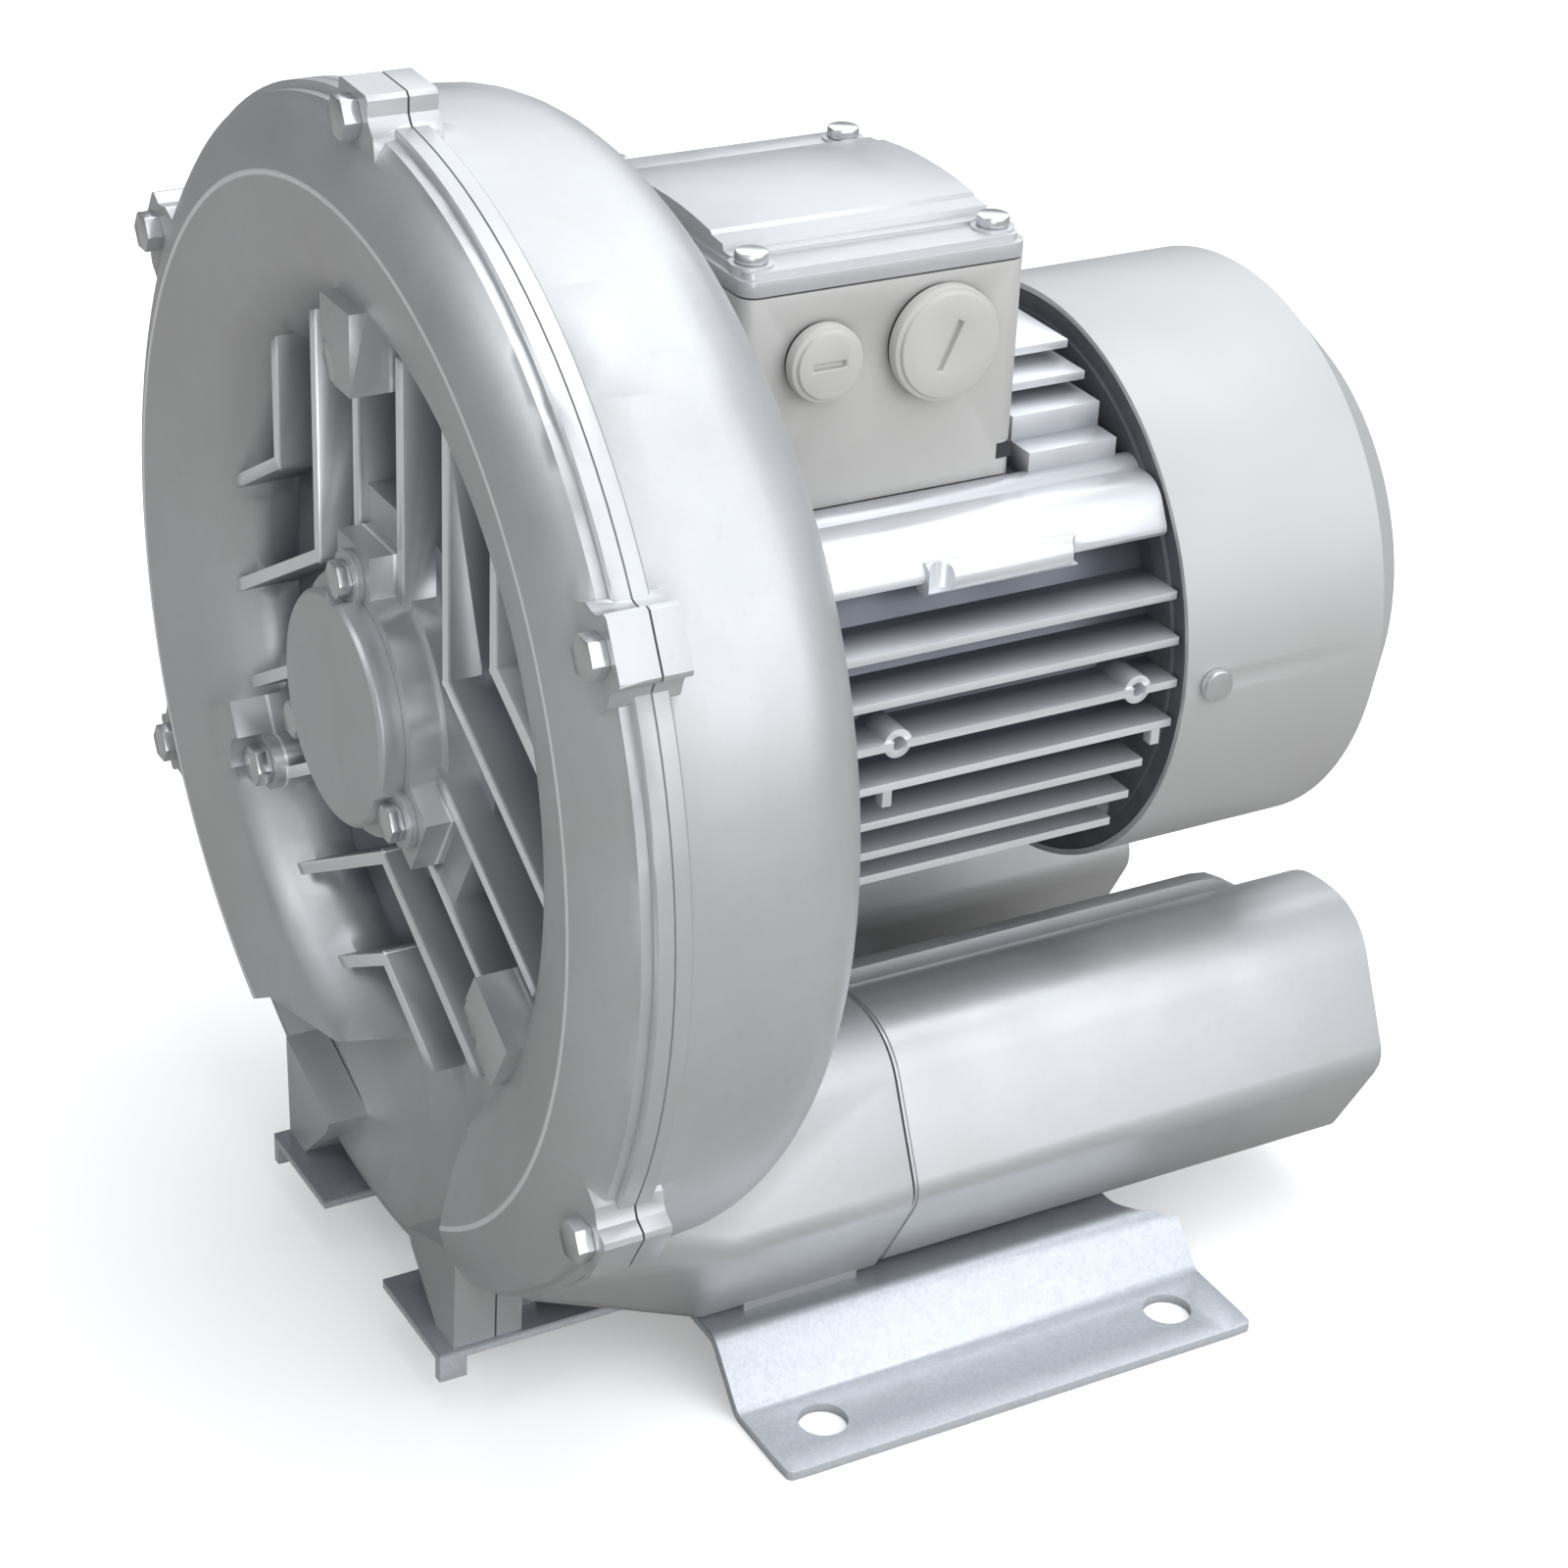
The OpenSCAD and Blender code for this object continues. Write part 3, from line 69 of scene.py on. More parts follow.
# The front cover: its foremost line, the joint behind it, and the dish with its hub and ribs
CREST = -0.127
JOINT = CREST + 0.01475
JOINT_INNER = 0.13
HUB_RADIUS = 0.036
DISH_RADIUS = 0.0875
# Depths between which the painted shade in the dish grows from none to full
DISH_DEEP = -0.102
DISH_SHALLOW = -0.114
# The plane of the rib fronts, along which a painted highlight runs
RIB_FRONT = CREST + 0.012

# Distances from the shaft's axis over which painted shade in the gaps between the motor frame's fins fades
# from dark at the fin roots to none at the fin edges
FIN_ROOT = 0.06
FIN_EDGE = 0.0695

# The drain slot of the terminal box, filled with a dark sheet as painted shade: its heights, its inset from
# the side face and the rear face
DRAIN_LOW = 0.2106
DRAIN_HIGH = 0.2144
DRAIN_ACROSS = (1.9 * MM, 0.4 * MM)
DRAIN_ALONG = (4.9 * MM, 0.6 * MM)

# The rear of the fan cover: its radius, its rounding, and the cone that the finished copy has there
FAN_COVER_RADIUS = 0.073
FAN_COVER_END = 0.13
FAN_COVER_ROUND = 0.016
CONE_LENGTH = 0.0155
CONE_RADIUS = 0.0588
CONE_LIP = 0.0012

# The feet: their height, sheet and bends, and the notch at the rear end of the upper bend
FOOT_TOP = 0.0164
FOOT_CORNER = 0.007
CORNER_SHARPNESS = 0.85
FOOT_SHEET = 0.0025
FOOT_SLOPE = 1.112
FOOT_LOWER_BEND = 0.0785
FOOT_UPPER_BEND = 0.0796
FOOT_TIP = 0.076
NOTCH_MIDDLE = 0.058
NOTCH_SIDE = 0.0805
NOTCH_LEAN = 0.36

# Degrees about X
PLUG_TURN = -50

# The room: where it is bright, how bright it is there and on the far side, and what the camera sees of it
BRIGHT_SIDE = (0.75, 0.35, 0.55)
ROOM_BRIGHT = 0.85
ROOM_DIM = 0.12
ROOM_DIM_FROM = -0.6
ROOM_COLOUR = (0.93, 0.96, 1, 1)
BACKDROP = (0.985, 0.985, 0.985, 1)

# The floor: its reach, its paint and faint glow for the camera, and what it throws back on the blower
FLOOR_REACH = 6
FLOOR_PAINT = (0.93, 0.93, 0.93, 1)
FLOOR_GLOW = 0.28
FLOOR_BOUNCE = (0.36, 0.35, 0.33, 1)

# Each lamp's name, place, width and height, watts and colour
COOL = (0.97, 0.985, 1.0)
COOLER = (0.95, 0.975, 1.0)
LAMPS = [
    ("key", (1.35, 0.6, 0.95), (2.0, 1.6), 12, COOL),
    ("above", (0.1, 0.35, 1.8), (1.2, 1.2), 12, COOLER),
    ("back", (-1.1, 0.9, 1.3), (1.5, 1.3), 9, COOLER),
    ("front", (-0.25, -1.5, 1.1), (0.8, 0.6), 4.5, COOL),
    ("corner", (1.45, -0.7, 0.4), (0.8, 0.7), 5.5, COOL),
]
LAMP_TARGET = Vector((0, 0, 0.15))

# How the finished copies of CAD nodes are made: vertices and faces to merge, and edges to round
MERGE = 0.002 * MM
FLAT = math.radians(0.3)
SHARP = math.radians(32)
EDGE_ROUND = 0.5 * MM
FINISHED_NODES = [
    "front_cover", "blower_housing", "bearing_cap", "motor_frame", "fan_cover",
    "terminal_box", "terminal_box_lid", "silencer_tube_right", "silencer_tube_left",
    "foot_right", "foot_left", "large_blanking_plug", "small_blanking_plug",
    "joint_bolts", "boss_bolts", "bearing_cap_screws", "lid_screws", "fan_cover_screws",
    "end_shield",
]


def place_camera():
    """Looks down at the front cover from its right, as the photograph does."""
    turn = math.radians(VIEW_TURN)
    tilt = math.radians(VIEW_TILT)
    roll = math.radians(VIEW_ROLL)
    forward = Vector((-math.sin(turn) * math.cos(tilt), math.cos(turn) * math.cos(tilt), -math.sin(tilt)))
    level = Vector((math.cos(turn), math.sin(turn), 0))
    upward = level.cross(forward)
    right = level * math.cos(roll) + upward * math.sin(roll)
    up = upward * math.cos(roll) - level * math.sin(roll)
    lens = bpy.data.cameras.new("camera")
    lens.lens = LENS
    lens.sensor_width = SENSOR
    lens.clip_end = 20
    camera = bpy.data.objects.new("camera", lens)
    camera.matrix_world = Matrix((
        (right.x, up.x, -forward.x, VIEW_PLACE[0]),
        (right.y, up.y, -forward.y, VIEW_PLACE[1]),
        (right.z, up.z, -forward.z, VIEW_PLACE[2]),
        (0, 0, 0, 1),
    ))
    bpy.context.scene.collection.objects.link(camera)
    bpy.context.scene.camera = camera


def soft_box(name, place, size, power, colour):
    """A large soft lamp that looks at the blower."""
    lamp = bpy.data.lights.new(name, "AREA")
    lamp.shape = "RECTANGLE"
    lamp.size = size[0]
    lamp.size_y = size[1]
    lamp.energy = power
    lamp.color = colour
    holder = bpy.data.objects.new(name, lamp)
    aim = LAMP_TARGET - Vector(place)
    holder.rotation_mode = "QUATERNION"
    holder.rotation_quaternion = aim.to_track_quat("-Z", "Y")
    holder.location = place
    bpy.context.scene.collection.objects.link(holder)


def add(tree, kind, **inputs):
    """A shader node with some of its inputs set or linked."""
    node = tree.nodes.new(kind)
    for name, value in inputs.items():
        socket = node.inputs[name]
        if isinstance(value, bpy.types.NodeSocket):
            tree.links.new(value, socket)
        else:
            socket.default_value = value
    return node


def mix_for_camera(tree, seen, felt):
    """One shader for what the camera sees, and another for the light that reaches the blower."""
    path = tree.nodes.new("ShaderNodeLightPath")
    mix = tree.nodes.new("ShaderNodeMixShader")
    tree.links.new(path.outputs["Is Camera Ray"], mix.inputs[0])
    tree.links.new(felt, mix.inputs[1])
    tree.links.new(seen, mix.inputs[2])
    return mix.outputs[0]


def make_room():
    """A pale room that is bright on the side of the key lamp and dim opposite it."""
    world = bpy.data.worlds.new("room")
    world.use_nodes = True
    tree = world.node_tree
    tree.nodes.clear()
    heading = add(tree, "ShaderNodeTexCoord").outputs["Generated"]
    side = add(tree, "ShaderNodeVectorMath")
    side.operation = "DOT_PRODUCT"
    tree.links.new(heading, side.inputs[0])
    side.inputs[1].default_value = BRIGHT_SIDE
    level = tree.nodes.new("ShaderNodeMapRange")
    level.inputs["From Min"].default_value = ROOM_DIM_FROM
    level.inputs["From Max"].default_value = 1
    level.inputs["To Min"].default_value = ROOM_DIM
    level.inputs["To Max"].default_value = ROOM_BRIGHT
    tree.links.new(side.outputs["Value"], level.inputs["Value"])
    felt = add(tree, "ShaderNodeBackground", Color=ROOM_COLOUR, Strength=level.outputs["Result"])
    seen = add(tree, "ShaderNodeBackground", Color=BACKDROP, Strength=1)
    out = tree.nodes.new("ShaderNodeOutputWorld")
    tree.links.new(mix_for_camera(tree, seen.outputs[0], felt.outputs[0]), out.inputs["Surface"])
    bpy.context.scene.world = world


def new_piece(name, bm):
    """Puts a bmesh in the scene as an object of its own, and frees it."""
    mesh = bpy.data.meshes.new(name)
    bm.to_mesh(mesh)
    bm.free()
    piece = bpy.data.objects.new(name, mesh)
    bpy.context.scene.collection.objects.link(piece)
    return piece


def make_floor():
    bm = bmesh.new()
    bmesh.ops.create_grid(bm, x_segments=1, y_segments=1, size=FLOOR_REACH)
    floor = new_piece("floor", bm)
    paint = bpy.data.materials.new("floor_paint")
    paint.use_nodes = True
    tree = paint.node_tree
    tree.nodes.clear()
    matt = add(tree, "ShaderNodeBsdfDiffuse", Color=FLOOR_PAINT)
    glow = add(tree, "ShaderNodeEmission", Color=(1, 1, 1, 1), Strength=FLOOR_GLOW)
    pale = tree.nodes.new("ShaderNodeAddShader")
    tree.links.new(matt.outputs[0], pale.inputs[0])
    tree.links.new(glow.outputs[0], pale.inputs[1])
    bounce = add(tree, "ShaderNodeBsdfDiffuse", Color=FLOOR_BOUNCE)
    out = tree.nodes.new("ShaderNodeOutputMaterial")
    tree.links.new(mix_for_camera(tree, pale.outputs[0], bounce.outputs[0]), out.inputs["Surface"])
    floor.data.materials.append(paint)


class Finish:
    """A principled material whose colour, roughness and bump come from noise on the object's own place."""

    def __init__(self, name, colour, roughness, metallic=0.0):
        self.material = bpy.data.materials.new(name)
        self.material.use_nodes = True
        self.tree = self.material.node_tree
        self.shader = self.tree.nodes["Principled BSDF"]
        self.shader.inputs["Base Color"].default_value = (*colour, 1)
        self.shader.inputs["Roughness"].default_value = roughness
        self.shader.inputs["Metallic"].default_value = metallic
        self.colour = colour
        self.roughness = roughness
        self.place = self.tree.nodes.new("ShaderNodeTexCoord").outputs["Object"]

    def noise(self, size, detail=3.0, rough=0.5, stretch=(1, 1, 1)):
        """Noise whose grains are about as large as size, in millimetres."""
        mapping = self.tree.nodes.new("ShaderNodeMapping")
        mapping.inputs["Scale"].default_value = stretch
        self.tree.links.new(self.place, mapping.inputs["Vector"])
        node = self.tree.nodes.new("ShaderNodeTexNoise")
        node.inputs["Scale"].default_value = 1 / (size * MM)
        node.inputs["Detail"].default_value = detail
        node.inputs["Roughness"].default_value = rough
        self.tree.links.new(mapping.outputs[0], node.inputs["Vector"])
        return node.outputs["Fac"]

    def part(self, axis):
        """One coordinate of the place."""
        return add(self.tree, "ShaderNodeSeparateXYZ", Vector=self.place).outputs[axis]

    def maths(self, kind, first, second):
        """A sum, a product or the like of two values."""
        node = self.tree.nodes.new("ShaderNodeMath")
        node.operation = kind
        for socket, value in zip(node.inputs, (first, second)):
            if isinstance(value, bpy.types.NodeSocket):
                self.tree.links.new(value, socket)
            else:
                socket.default_value = value
        return node.outputs[0]

    def off_axis(self):
        """The distance from the shaft's axis."""
        height = self.maths("SUBTRACT", self.part("Z"), SHAFT_HEIGHT)
        flat = add(self.tree, "ShaderNodeCombineXYZ", X=self.part("X"), Y=height)
        length = self.tree.nodes.new("ShaderNodeVectorMath")
        length.operation = "LENGTH"
        self.tree.links.new(flat.outputs[0], length.inputs[0])
        return length.outputs["Value"]

    def between(self, value, low, high, soft):
        """1 where a value lies between two others, with soft borders."""
        rise = self.ramp(value, 0, 1, low - soft, low + soft)
        fall = self.ramp(value, 1, 0, high - soft, high + soft)
        return self.maths("MULTIPLY", rise, fall)

    def ramp(self, value, low, high, start, end):
        """Maps a value between start and end to a range of numbers."""
        node = self.tree.nodes.new("ShaderNodeMapRange")
        node.inputs["From Min"].default_value = start
        node.inputs["From Max"].default_value = end
        node.inputs["To Min"].default_value = low
        node.inputs["To Max"].default_value = high
        self.tree.links.new(value, node.inputs["Value"])
        return node.outputs["Result"]

    def tint(self, value, other, share=1.0):
        """Mixes the base colour with another one by a value from 0 to 1."""
        mix = self.tree.nodes.new("ShaderNodeMix")
        mix.data_type = "RGBA"
        socket = self.shader.inputs["Base Color"]
        if socket.is_linked:
            self.tree.links.new(socket.links[0].from_socket, mix.inputs["A"])
        else:
            mix.inputs["A"].default_value = (*self.colour, 1)
        mix.inputs["B"].default_value = (*other, 1)
        self.tree.links.new(self.ramp(value, 0, share, 0, 1), mix.inputs["Factor"])
        self.tree.links.new(mix.outputs["Result"], socket)

    def patches(self, value, other, share, start=0.35, end=0.7):
        """Another colour where a noise rises from start to end."""
        self.tint(self.ramp(value, 0, 1, start, end), other, share)

    def vary_gloss(self, value, spread):
        """Lets the roughness follow a noise, by spread up and down."""
        low = self.roughness - spread
        high = self.roughness + spread
        self.tree.links.new(self.ramp(value, low, high, 0.3, 0.7), self.shader.inputs["Roughness"])

    def bump(self, value, depth, strength=1.0):
        """Depth is in millimetres. Several bumps add up."""
        node = self.tree.nodes.new("ShaderNodeBump")
        node.inputs["Distance"].default_value = depth * MM
        node.inputs["Strength"].default_value = strength
        self.tree.links.new(value, node.inputs["Height"])
        socket = self.shader.inputs["Normal"]
        if socket.is_linked:
            self.tree.links.new(socket.links[0].from_socket, node.inputs["Normal"])
        self.tree.links.new(node.outputs["Normal"], socket)


def cast_metal(name):
    """Die cast aluminium, blasted to a satin silver."""
    f = Finish(name, (0.58, 0.59, 0.605), 0.4, 0.6)
    f.patches(f.noise(60, 4, 0.6), (0.505, 0.505, 0.495), 0.6)
    f.patches(f.noise(3, 5, 0.7), (0.45, 0.45, 0.45), 0.3, 0.55, 0.8)
    f.vary_gloss(f.noise(25, 4), 0.06)
    f.bump(f.noise(0.7, 4, 0.6), 0.05, 0.35)
    f.bump(f.noise(14, 3), 0.25, 0.3)
    return f


def cast_silver():
    return cast_metal("cast_silver").material


def cast_cover():
    """The same casting, with painted shade in a darker bluish grey deep in the dish, and painted highlights on
    the rib fronts and along the crest.
    """
    f = cast_metal("cast_cover")
    # Painted shade: the dish darkens to a bluish grey from its shallow part towards its floor.
    in_dish = f.between(f.off_axis(), HUB_RADIUS, DISH_RADIUS, 2 * MM)
    shade_by_depth = f.ramp(f.part("Y"), 0, 1, DISH_SHALLOW, DISH_DEEP)
    f.tint(f.maths("MULTIPLY", in_dish, shade_by_depth), (0.13, 0.14, 0.17), 0.85)
    # Painted highlight: a near-white band across the fronts of the dish ribs.
    rib_highlight_band = f.between(f.part("Y"), RIB_FRONT - 0.3 * MM, RIB_FRONT + 0.5 * MM, 0.15 * MM)
    f.tint(f.maths("MULTIPLY", in_dish, rib_highlight_band), (0.97, 0.98, 1.0))
    # Painted highlight: a thin near-white line along the crest of the front cover.
    f.tint(f.ramp(f.part("Y"), 1, 0, CREST + 0.08 * MM, CREST + 0.16 * MM), (0.97, 0.98, 1.0), 0.9)
    return f.material


def frame_silver():
    f = Finish("frame_silver", (0.78, 0.795, 0.82), 0.36, 0.55)
    f.patches(f.noise(30, 4, 0.6), (0.7, 0.71, 0.74), 0.5)
    # Painted shade: bluish black deep between the fins, fading out towards their edges.
    f.tint(f.ramp(f.off_axis(), 1, 0, FIN_ROOT, FIN_EDGE), (0.07, 0.08, 0.11), 0.88)
    f.vary_gloss(f.noise(12, 4), 0.05)
    f.bump(f.noise(0.8, 4, 0.6), 0.05, 0.3)
    return f.material


def painted_shade_cast():
    """The end shield, painted dark all over as the shade in the gap behind the frame."""
    # Painted shade: the whole end shield is near black.
    f = Finish("painted_shade_cast", (0.12, 0.125, 0.14), 0.6, 0.4)
    f.patches(f.noise(8, 4, 0.6), (0.07, 0.075, 0.085), 0.6)
    f.bump(f.noise(0.7, 4, 0.6), 0.05, 0.35)
    return f.material


def cover_paint():
    f = Finish("cover_paint", (0.53, 0.535, 0.535), 0.48, 0.3)
    f.patches(f.noise(80, 3, 0.5), (0.49, 0.49, 0.475), 0.5)
    f.vary_gloss(f.noise(30, 3), 0.04)
    f.bump(f.noise(0.5, 3, 0.5), 0.02, 0.3)
    return f.material


def box_paint():
    f = Finish("box_paint", (0.526, 0.517, 0.503), 0.42, 0.15)
    f.patches(f.noise(40, 4, 0.6), (0.5, 0.49, 0.475), 0.5)
    f.vary_gloss(f.noise(15, 3), 0.05)
    f.bump(f.noise(0.6, 4, 0.6), 0.03, 0.35)
    return f.material


def lid_paint():
    f = Finish("lid_paint", (0.56, 0.56, 0.575), 0.36, 0.35)
    f.patches(f.noise(40, 4, 0.6), (0.5, 0.5, 0.51), 0.5)
    f.vary_gloss(f.noise(15, 3), 0.05)
    f.bump(f.noise(0.6, 4, 0.6), 0.03, 0.35)
    return f.material


def plug_plastic():
    f = Finish("plug_plastic", (0.538, 0.529, 0.504), 0.38, 0.0)
    f.patches(f.noise(12, 3, 0.6), (0.58, 0.57, 0.55), 0.5)
    f.bump(f.noise(0.6, 3, 0.6), 0.02, 0.3)
    return f.material


def bright_zinc():
    f = Finish("bright_zinc", (0.74, 0.75, 0.77), 0.25, 0.9)
    f.patches(f.noise(3, 4, 0.6), (0.6, 0.61, 0.62), 0.5)
    f.bump(f.noise(0.4, 3, 0.6), 0.02, 0.3)
    return f.material


def foot_zinc():
    """Galvanised sheet with a fine speckle, and painted shadow darkening its upper flat under the tubes."""
    f = Finish("foot_zinc", (0.68, 0.71, 0.75), 0.42, 0.5)
    f.patches(f.noise(1.2, 5, 0.8), (0.56, 0.585, 0.63), 0.7, 0.4, 0.6)
    # Painted shadow: the upper flat at the top of the foot is darkened where the tubes shade it.
    f.tint(f.ramp(f.part("Z"), 0, 1, FOOT_TOP - 1.2 * MM, FOOT_TOP - 0.1 * MM), (0.16, 0.17, 0.19), 0.7)
    f.vary_gloss(f.noise(3, 4), 0.08)
    f.bump(f.noise(0.8, 4, 0.7), 0.03, 0.35)
    return f.material


def ground_steel():
    f = Finish("ground_steel", (0.6, 0.6, 0.61), 0.28, 0.95)
    f.bump(f.noise(0.3, 3, 0.6), 0.01, 0.3)
    f.patches(f.noise(6, 3), (0.5, 0.5, 0.51), 0.5)
    return f.material


def core_steel():
    """Stacked sheets, seen as fine rings round the shaft."""
    f = Finish("core_steel", (0.32, 0.32, 0.33), 0.45, 0.8)
    sheets = f.noise(0.5, 2, 0.5, (0.02, 1, 0.02))
    f.bump(sheets, 0.05, 0.5)
    f.tint(sheets, (0.2, 0.2, 0.21), 0.7)
    return f.material


def copper_wire():
    f = Finish("copper_wire", (0.6, 0.25, 0.1), 0.35, 0.8)
    f.bump(f.noise(0.7, 2, 0.5, (1, 0.1, 1)), 0.1, 0.6)
    f.tint(f.noise(2, 3), (0.45, 0.18, 0.07), 0.6)
    return f.material


def seal_rubber():
    f = Finish("seal_rubber", (0.03, 0.03, 0.032), 0.6)
    f.bump(f.noise(0.6, 3), 0.02, 0.4)
    f.tint(f.noise(5, 3), (0.05, 0.05, 0.05), 0.6)
    return f.material


def gasket_paper():
    """Pressed fibre between the two castings, about as pale as they are."""
    f = Finish("gasket_paper", (0.42, 0.43, 0.44), 0.7)
    f.bump(f.noise(0.5, 3), 0.02, 0.4)
    f.tint(f.noise(6, 3), (0.34, 0.35, 0.36), 0.6)
    return f.material


def silencer_foam():
    f = Finish("silencer_foam", (0.035, 0.035, 0.038), 0.9)
    f.bump(f.noise(0.9, 5, 0.8), 0.4, 0.8)
    f.tint(f.noise(1.2, 4), (0.012, 0.012, 0.013), 0.8)
    return f.material


def black_plastic():
    f = Finish("black_plastic", (0.025, 0.026, 0.03), 0.42)
    f.bump(f.noise(0.5, 3), 0.02, 0.3)
    f.tint(f.noise(8, 3), (0.04, 0.04, 0.045), 0.6)
    return f.material


def stud_brass():
    f = Finish("stud_brass", (0.7, 0.48, 0.18), 0.3, 0.9)
    f.bump(f.noise(0.4, 3), 0.01, 0.3)
    f.tint(f.noise(3, 3), (0.55, 0.36, 0.12), 0.6)
    return f.material


NODE_FINISH = {
    cast_silver: [
        "bearing_cap", "blower_housing", "silencer_tube_right",
        "silencer_tube_left", "impeller", "rotor_end_rings",
    ],
    cast_cover: ["front_cover"],
    painted_shade_cast: ["end_shield"],
    frame_silver: ["motor_frame"],
    cover_paint: ["fan_cover"],
    box_paint: ["terminal_box"],
    lid_paint: ["terminal_box_lid"],
    plug_plastic: ["large_blanking_plug", "small_blanking_plug"],
    bright_zinc: [
        "bearing_cap_screws", "boss_bolts", "joint_bolts", "tie_bolts", "fan_cover_screws", "lid_screws",
        "foot_bolts",
    ],
    foot_zinc: ["foot_right", "foot_left"],
    ground_steel: [
        "front_bearing_outer_ring", "front_bearing_inner_ring", "rear_bearing_outer_ring",
        "rear_bearing_inner_ring", "wave_spring", "spacer_sleeve", "shaft_circlip", "fan_clip",
        "impeller_key", "shaft",
    ],
    core_steel: ["stator_core", "rotor_core"],
    copper_wire: ["stator_windings"],
    seal_rubber: [
        "cover_seal_ring", "housing_seal_ring", "terminal_box_seal", "plug_seals", "silencer_gaskets",
    ],
    gasket_paper: ["joint_gasket"],
    silencer_foam: ["silencer_liner_right", "silencer_liner_left"],
    black_plastic: ["terminal_block", "cooling_fan"],
    stud_brass: ["terminal_studs", "earth_screw"],
}


def give(piece, finish):
    """Puts one finish on every material slot of a piece."""
    if not piece.data.materials:
        piece.data.materials.append(finish)
    for slot in piece.material_slots:
        slot.material = finish


def finish_nodes():
    for make, names in NODE_FINISH.items():
        finish = make()
        for name in names:
            give(frame["nodes"][name], finish)


def body_of_node(name):
    for body, names in frame["record"]["behaviour"]["bodies"].items():
        if name in names:
            return body
    return "root"


def cone_rear(bm):
    """Turns the fan cover's round rear into a cone between two narrow bends."""
    start = FAN_COVER_END - FAN_COVER_ROUND
    inner = FAN_COVER_RADIUS - FAN_COVER_ROUND
    path = [
        (FAN_COVER_RADIUS, start),
        (FAN_COVER_RADIUS, FAN_COVER_END - CONE_LENGTH),
        (CONE_RADIUS, FAN_COVER_END - CONE_LIP),
        (inner, FAN_COVER_END),
    ]
    # Each vertex of the rounding, with its radius, its angle in degrees and its share of the rounding's radius
    bent = []
    for v in bm.verts:
        radius = math.hypot(v.co.x, v.co.z - SHAFT_HEIGHT)
        if radius > inner + 0.1 * MM and v.co.y > start - HAIR:
            swing = math.degrees(math.atan2(v.co.y - start, radius - inner))
            share = math.hypot(v.co.y - start, radius - inner) / FAN_COVER_ROUND
            bent.append((v, radius, swing, share))
    # The first and the last facet of the rounding become the two bends, and what lies between them the cone
    steps = sorted({round(swing, 1) for _, _, swing, _ in bent if 0.5 < swing < 89.5})
    marks = [0, steps[0], steps[-1], 90]
    for v, radius, swing, share in bent:
        leg = sum(swing > mark + 0.05 for mark in marks[1:3])
        along = min(max((swing - marks[leg]) / (marks[leg + 1] - marks[leg]), 0), 1)
        wide = path[leg][0] + (path[leg + 1][0] - path[leg][0]) * along
        back = path[leg][1] + (path[leg + 1][1] - path[leg][1]) * along
        grown = (inner + (wide - inner) * share) / radius
        v.co.x *= grown
        v.co.z = SHAFT_HEIGHT + (v.co.z - SHAFT_HEIGHT) * grown
        v.co.y = start + (back - start) * share


def side_of(bm):
    """1 for a piece on the right, -1 for one on the left."""
    return 1 if sum(v.co.x for v in bm.verts) > 0 else -1


def square_corners(bm):
    """Draws the round outer corners of a foot's floor flange out to nearly sharp ones."""
    side = side_of(bm)
    edge = max(v.co.x * side for v in bm.verts)
    for end in (-1, 1):
        reach = max(v.co.y * end for v in bm.verts if v.co.z < FOOT_SHEET + 0.5 * MM)
        middle = (edge - FOOT_CORNER, reach - FOOT_CORNER)
        for v in bm.verts:
            dx = v.co.x * side - middle[0]
            dy = v.co.y * end - middle[1]
            if dx > 0 and dy > 0 and abs(math.hypot(dx, dy) - FOOT_CORNER) < 0.3 * MM:
                grown = 1 + CORNER_SHARPNESS * (FOOT_CORNER / max(dx, dy) - 1)
                v.co.x = (middle[0] + dx * grown) * side
                v.co.y = (middle[1] + dy * grown) * end


def foot_fall(x, start):
    """How far the foot's web has sunk at an x, past the start of its slope."""
    return FOOT_SLOPE * max(0, x - start)


def trim_notch(bm):
    """Moves the thin tip that the rear notch leaves on the bend back along the slope."""
    side = side_of(bm)
    for v in bm.verts:
        past = v.co.y - NOTCH_MIDDLE
        x = v.co.x * side
        border = NOTCH_SIDE + NOTCH_LEAN * past
        if past > -HAIR and FOOT_TIP < x < border:
            top = abs(v.co.z - FOOT_TOP + foot_fall(x, FOOT_UPPER_BEND))
            under = abs(v.co.z - FOOT_TOP + FOOT_SHEET + foot_fall(x, FOOT_LOWER_BEND))
            start = FOOT_UPPER_BEND if top < under else FOOT_LOWER_BEND
            v.co.z -= foot_fall(border, start) - foot_fall(x, start)
            v.co.x = border * side
    bmesh.ops.remove_doubles(bm, verts=bm.verts, dist=HAIR)
    bmesh.ops.dissolve_degenerate(bm, edges=bm.edges, dist=HAIR)


def shape_foot(bm):
    square_corners(bm)
    trim_notch(bm)


def turn_slot(bm):
    """Turns the large plug in its thread, so that its slot leans as in the photograph."""
    low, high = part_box("large_blanking_plug")
    middle = (low + high) / 2
    turn = Matrix.Rotation(math.radians(PLUG_TURN), 4, "X")
    about_middle = Matrix.Translation(middle) @ turn @ Matrix.Translation(-middle)
    bmesh.ops.transform(bm, matrix=about_middle, verts=bm.verts)


RESHAPE = {
    "fan_cover": cone_rear,
    "foot_right": shape_foot,
    "foot_left": shape_foot,
    "large_blanking_plug": turn_slot,
}


def on_crest(e):
    """The foremost line of the front cover stays a line."""
    return all(abs(v.co.y - CREST) < 0.05 * MM for v in e.verts)


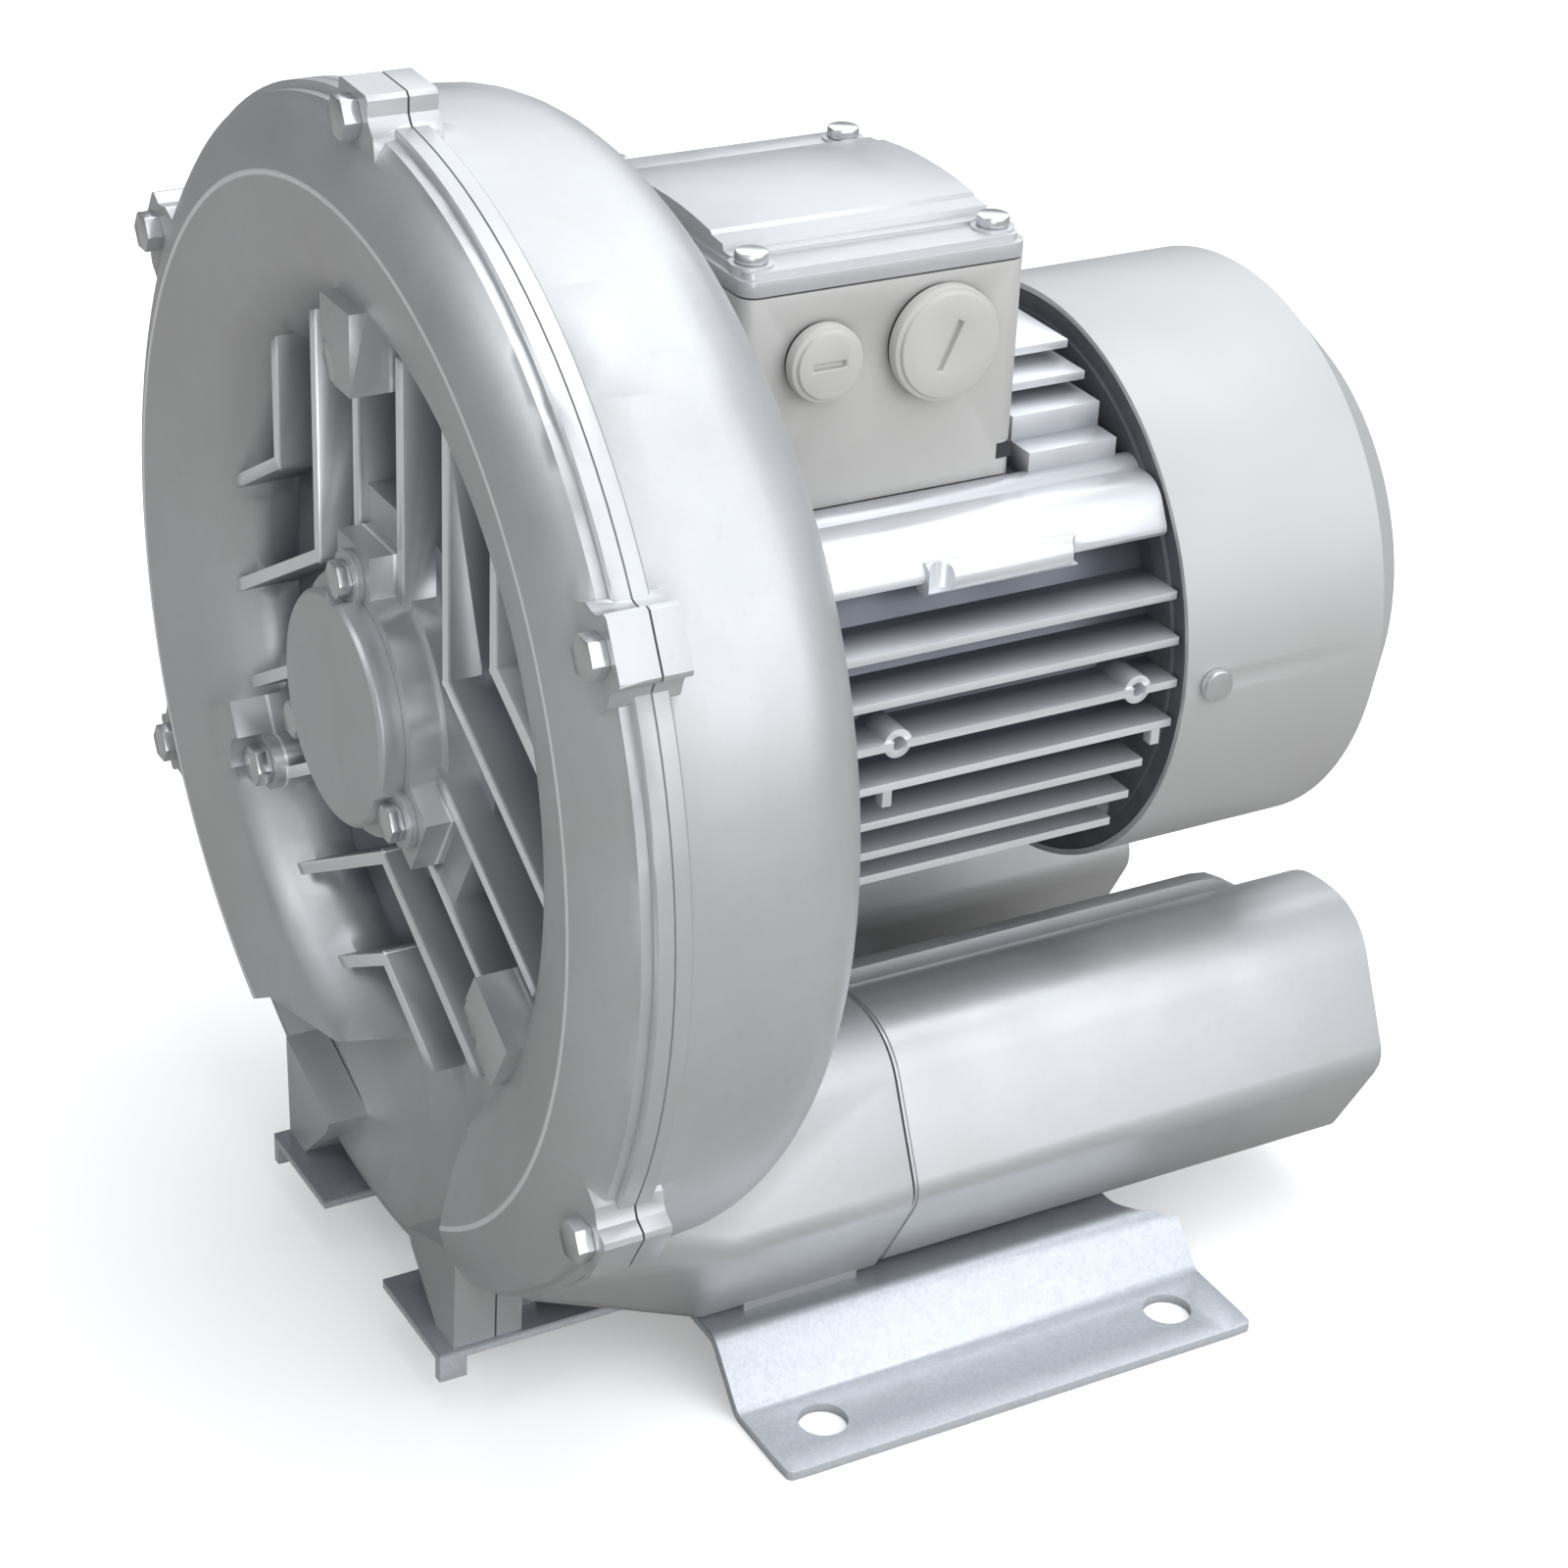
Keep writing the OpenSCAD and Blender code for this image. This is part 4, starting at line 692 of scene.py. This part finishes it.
def at_joint(e):
    """Edges where the two castings meet keep their corners, so that the joint closes."""
    near = all(abs(v.co.y - JOINT) < 0.8 * MM for v in e.verts)
    return near and all(abs(v.co.z - SHAFT_HEIGHT) + abs(v.co.x) > JOINT_INNER for v in e.verts)


def soften(name):
    """A copy of a CAD node with its facets merged and its edges rounded, which then stands for the node."""
    node = frame["nodes"][name]
    bm = bmesh.new()
    bm.from_mesh(node.data)
    bmesh.ops.remove_doubles(bm, verts=bm.verts, dist=MERGE)
    bmesh.ops.dissolve_limit(
        bm, angle_limit=FLAT, verts=bm.verts, edges=bm.edges, use_dissolve_boundaries=False)
    if name in RESHAPE:
        RESHAPE[name](bm)
    paired = [e for e in bm.edges if len(e.link_faces) == 2]
    crisp = [e for e in paired if e.calc_face_angle() > SHARP and not at_joint(e)]
    bmesh.ops.bevel(
        bm, geom=crisp, offset=EDGE_ROUND, offset_type="OFFSET", affect="EDGES", segments=2,
        profile=0.5, material=-1, clamp_overlap=True, loop_slide=True)
    for face in bm.faces:
        face.smooth = True
    for e in bm.edges:
        e.smooth = len(e.link_faces) == 2 and e.calc_face_angle() < SHARP and not on_crest(e)
    piece = new_piece(name + "_finish", bm)
    give(piece, node.material_slots[0].material)
    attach(piece, body_of_node(name))
    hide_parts(name)


def box_slot():
    """A dark sheet on the floor of the drain slot near the rear edge of the terminal box: painted shade that
    stands for the slot's dark depth.
    """
    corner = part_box("terminal_box")[1]
    low = (corner[0] - DRAIN_ACROSS[0], corner[1] - DRAIN_ALONG[0], DRAIN_LOW)
    high = (corner[0] - DRAIN_ACROSS[1], corner[1] - DRAIN_ALONG[1], DRAIN_HIGH)
    bm = bmesh.new()
    bmesh.ops.create_cube(bm, size=1)
    for v in bm.verts:
        v.co = Vector([low[k] + (high[k] - low[k]) * (v.co[k] + 0.5) for k in range(3)])
    piece = new_piece("box_slot", bm)
    give(piece, frame["nodes"]["terminal_block"].material_slots[0].material)
    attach(piece, "root")


place_camera()
make_room()
for lamp in LAMPS:
    soft_box(*lamp)
make_floor()
finish_nodes()
for name in FINISHED_NODES:
    soften(name)
box_slot()

bpy.context.scene.view_settings.view_transform = "Standard"
